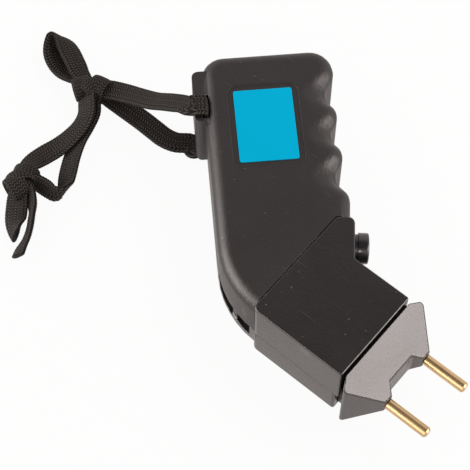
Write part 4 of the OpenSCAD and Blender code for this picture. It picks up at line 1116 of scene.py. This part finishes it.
# %% Turned lines group
BAND_SCALE = 0.06
rings_group, rings_in, rings_out = new_group(
    "turned_lines", [("Distance", FLOAT, 0.0), ("Pitch", FLOAT, 3200.0)],
    [("Height", FLOAT), ("Band", FLOAT)])
stretch = calc(rings_group, "MULTIPLY", rings_in["Distance"], rings_in["Pitch"])
rings = add_node(rings_group, "ShaderNodeTexNoise", noise_dimensions="1D", W=stretch, Scale=1.0, Detail=3.0,
                 Roughness=0.7)
bands = add_node(rings_group, "ShaderNodeTexNoise", noise_dimensions="1D",
                 W=calc(rings_group, "MULTIPLY", stretch, BAND_SCALE), Scale=1.0, Detail=1.0)
feed(rings_group, rings_out["Height"], rings.outputs["Fac"])
feed(rings_group, rings_out["Band"], bands.outputs["Fac"])
print("group:", rings_group.name)

# %% Metal finish
TARNISH_FADE, TARNISH_DULL = (0.35, 0.75), 0.16
BAND_PART = 0.5


def metal_finish(name, bright, dull, gloss, pitch):
    """Bare metal with lathe rings along X, patches of tarnish and a few handling marks."""
    material, tree, shader = new_material(name)
    spot = object_spot(tree)
    along = add_node(tree, "ShaderNodeSeparateXYZ", Vector=spot).outputs["X"]
    rings = use_group(tree, rings_group, Distance=along, Pitch=pitch)
    marks = use_group(tree, marks_group, Vector=spot, Dust=0.2, Scratches=0.4)
    patches = ramp(tree, marks["Smudge"], *TARNISH_FADE)
    colour = mix_colour(tree, bright, dull, patches)
    colour = mix_colour(tree, colour, dull, calc(tree, "MULTIPLY", rings["Band"], BAND_PART))
    rough = blend_value(tree, gloss, gloss + TARNISH_DULL, patches)
    relief = add_node(tree, "ShaderNodeBump", Strength=0.25, Distance=0.00004, Height=rings["Height"])
    surface(tree, shader, colour, rough, relief, Metallic=1.0)
    return material


brass_finish = metal_finish("turned_brass", (0.76, 0.56, 0.30, 1.0), (0.50, 0.35, 0.18, 1.0), 0.20, 3200.0)
steel_finish = metal_finish("plated_steel", (0.60, 0.61, 0.63, 1.0), (0.42, 0.42, 0.43, 1.0), 0.26, 2600.0)
tin_finish = metal_finish("tinned_tags", (0.70, 0.70, 0.68, 1.0), (0.50, 0.50, 0.48, 1.0), 0.34, 1400.0)
copper_finish = metal_finish(
    "enamelled_wire", (0.55, 0.22, 0.09, 1.0), (0.34, 0.12, 0.05, 1.0), 0.30, 5200.0)
black_steel = metal_finish(
    "blackened_steel", (0.075, 0.075, 0.08, 1.0), (0.035, 0.035, 0.038, 1.0), 0.28, 2600.0)
button_finish = plastic_finish("button_black", (0.0105, 0.0108, 0.0125, 1.0), 0.16, 0.00003, 0.35, 0.3)
dress(brass_finish, *prongs)
dress(black_steel, collar)
spring.data.materials.clear()
dress(steel_finish, spring)
dress(button_finish, button)
print("metal and button finishes ready")

# %% [markdown]
# ## Inside pieces
# The battery, the board, the coil and the wiring show when the battery cover is off. Their CAD shapes are
# right as they are, so they only get finishes: cast potting, ferrite, a lacquered board with tracks, plastic
# sleeves and insulated leads. One helper gives a two-tone surface with its own grain, gloss and bump.

# %% Inside finishes
PATCH_DULL = 0.15
LACQUER, TRACK = (0.012, 0.085, 0.035, 1.0), (0.035, 0.16, 0.06, 1.0)
PAD, PAD_EDGE = (0.42, 0.40, 0.34, 1.0), (0.22, 0.16)
TRACK_SCALE = (190.0, 190.0, 1.0)
BOARD_GLOSS = (0.30, 0.45)


def cast_finish(name, base, patch, gloss, grain, depth):
    """A two-tone surface with soft patches and a fine bump, for pieces inside the shells."""
    material, tree, shader = new_material(name)
    spot = object_spot(tree)
    skin = use_group(tree, skin_group, Vector=spot, Grain=grain)
    marks = use_group(tree, marks_group, Vector=spot, Dust=0.3, Scratches=0.2)
    colour = mix_colour(tree, base, patch, marks["Smudge"])
    colour = mix_colour(tree, colour, patch, skin["Speck"])
    rough = blend_value(tree, gloss, gloss + PATCH_DULL, marks["Smudge"])
    relief = add_node(tree, "ShaderNodeBump", Strength=0.3, Distance=depth, Height=skin["Height"])
    surface(tree, shader, colour, rough, relief)
    return material


def board_finish(name):
    """Green lacquer over tracks that run along the board, with pale pads."""
    material, tree, shader = new_material(name)
    spot = object_spot(tree)
    turned = add_node(tree, "ShaderNodeMapping", Vector=spot, Rotation=GRIP_TURN, Scale=TRACK_SCALE)
    tracks = add_node(tree, "ShaderNodeTexBrick", Vector=turned.outputs["Vector"], Scale=1.0,
                      Mortar_Size=0.09, Brick_Width=3.0, Row_Height=0.5)
    pads = add_node(tree, "ShaderNodeTexVoronoi", Vector=spot, Scale=330.0, Randomness=0.15)
    holes = ramp(tree, pads.outputs["Distance"], *PAD_EDGE)
    colour = mix_colour(tree, LACQUER, TRACK, tracks.outputs["Fac"])
    colour = mix_colour(tree, colour, PAD, holes)
    surface(tree, shader, colour, blend_value(tree, *BOARD_GLOSS, holes))
    return material


print("inside finishes ready")

# %% Dress the inside
inside = {
    steel_finish: ["button_nut", "button_clip", "electrode_nuts", "shell_screws", "head_screws",
                   "nose_screws", "tray_screws", "board_screws"],
    tin_finish: ["electrode_tags", "switch_terminals", "battery_terminals"],
    copper_finish: ["transformer_winding"],
    board_finish("lacquered_board"): ["circuit_board"],
    cast_finish("inner_plastic", (0.018, 0.018, 0.020, 1), (0.032, 0.032, 0.034, 1), 0.45, 900.0, 0.0001): [
        "switch_body", "battery_snap", "battery_tray", "power_transistor"],
    cast_finish("potted_coil", (0.012, 0.012, 0.013, 1), (0.026, 0.025, 0.024, 1), 0.30, 500.0, 0.0002): [
        "output_coil"],
    cast_finish("red_lead", (0.42, 0.02, 0.015, 1), (0.30, 0.015, 0.012, 1), 0.38, 900.0, 0.00005): [
        "hv_leads", "battery_leads"],
    cast_finish("blue_lead", (0.02, 0.07, 0.32, 1), (0.015, 0.05, 0.22, 1), 0.38, 900.0, 0.00005): [
        "switch_leads"],
    cast_finish("yellow_lead", (0.62, 0.46, 0.03, 1), (0.48, 0.34, 0.02, 1), 0.38, 900.0, 0.00005): [
        "coil_leads"],
    cast_finish("battery_case", (0.025, 0.027, 0.032, 1), (0.05, 0.052, 0.06, 1), 0.28, 700.0, 0.00005): [
        "battery"],
    cast_finish("ferrite", (0.020, 0.020, 0.022, 1), (0.042, 0.041, 0.042, 1), 0.60, 1400.0, 0.0002): [
        "transformer_core"],
    cast_finish("can_sleeve", (0.012, 0.018, 0.060, 1), (0.018, 0.026, 0.085, 1), 0.30, 800.0, 0.00005): [
        "storage_capacitor"],
    cast_finish("film_dip", (0.26, 0.045, 0.018, 1), (0.34, 0.07, 0.025, 1), 0.25, 300.0, 0.0002): [
        "film_capacitor"],
    cast_finish("resistor_body", (0.50, 0.38, 0.20, 1), (0.40, 0.28, 0.14, 1), 0.50, 1100.0, 0.0001): [
        "board_parts"],
}
dressed = 0
for finish, names in inside.items():
    for name in names:
        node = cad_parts[name]
        for place in node.material_slots:
            place.material = finish
        if not node.material_slots:
            node.data.materials.append(finish)
        dressed += 1
print("inside pieces dressed:", dressed)
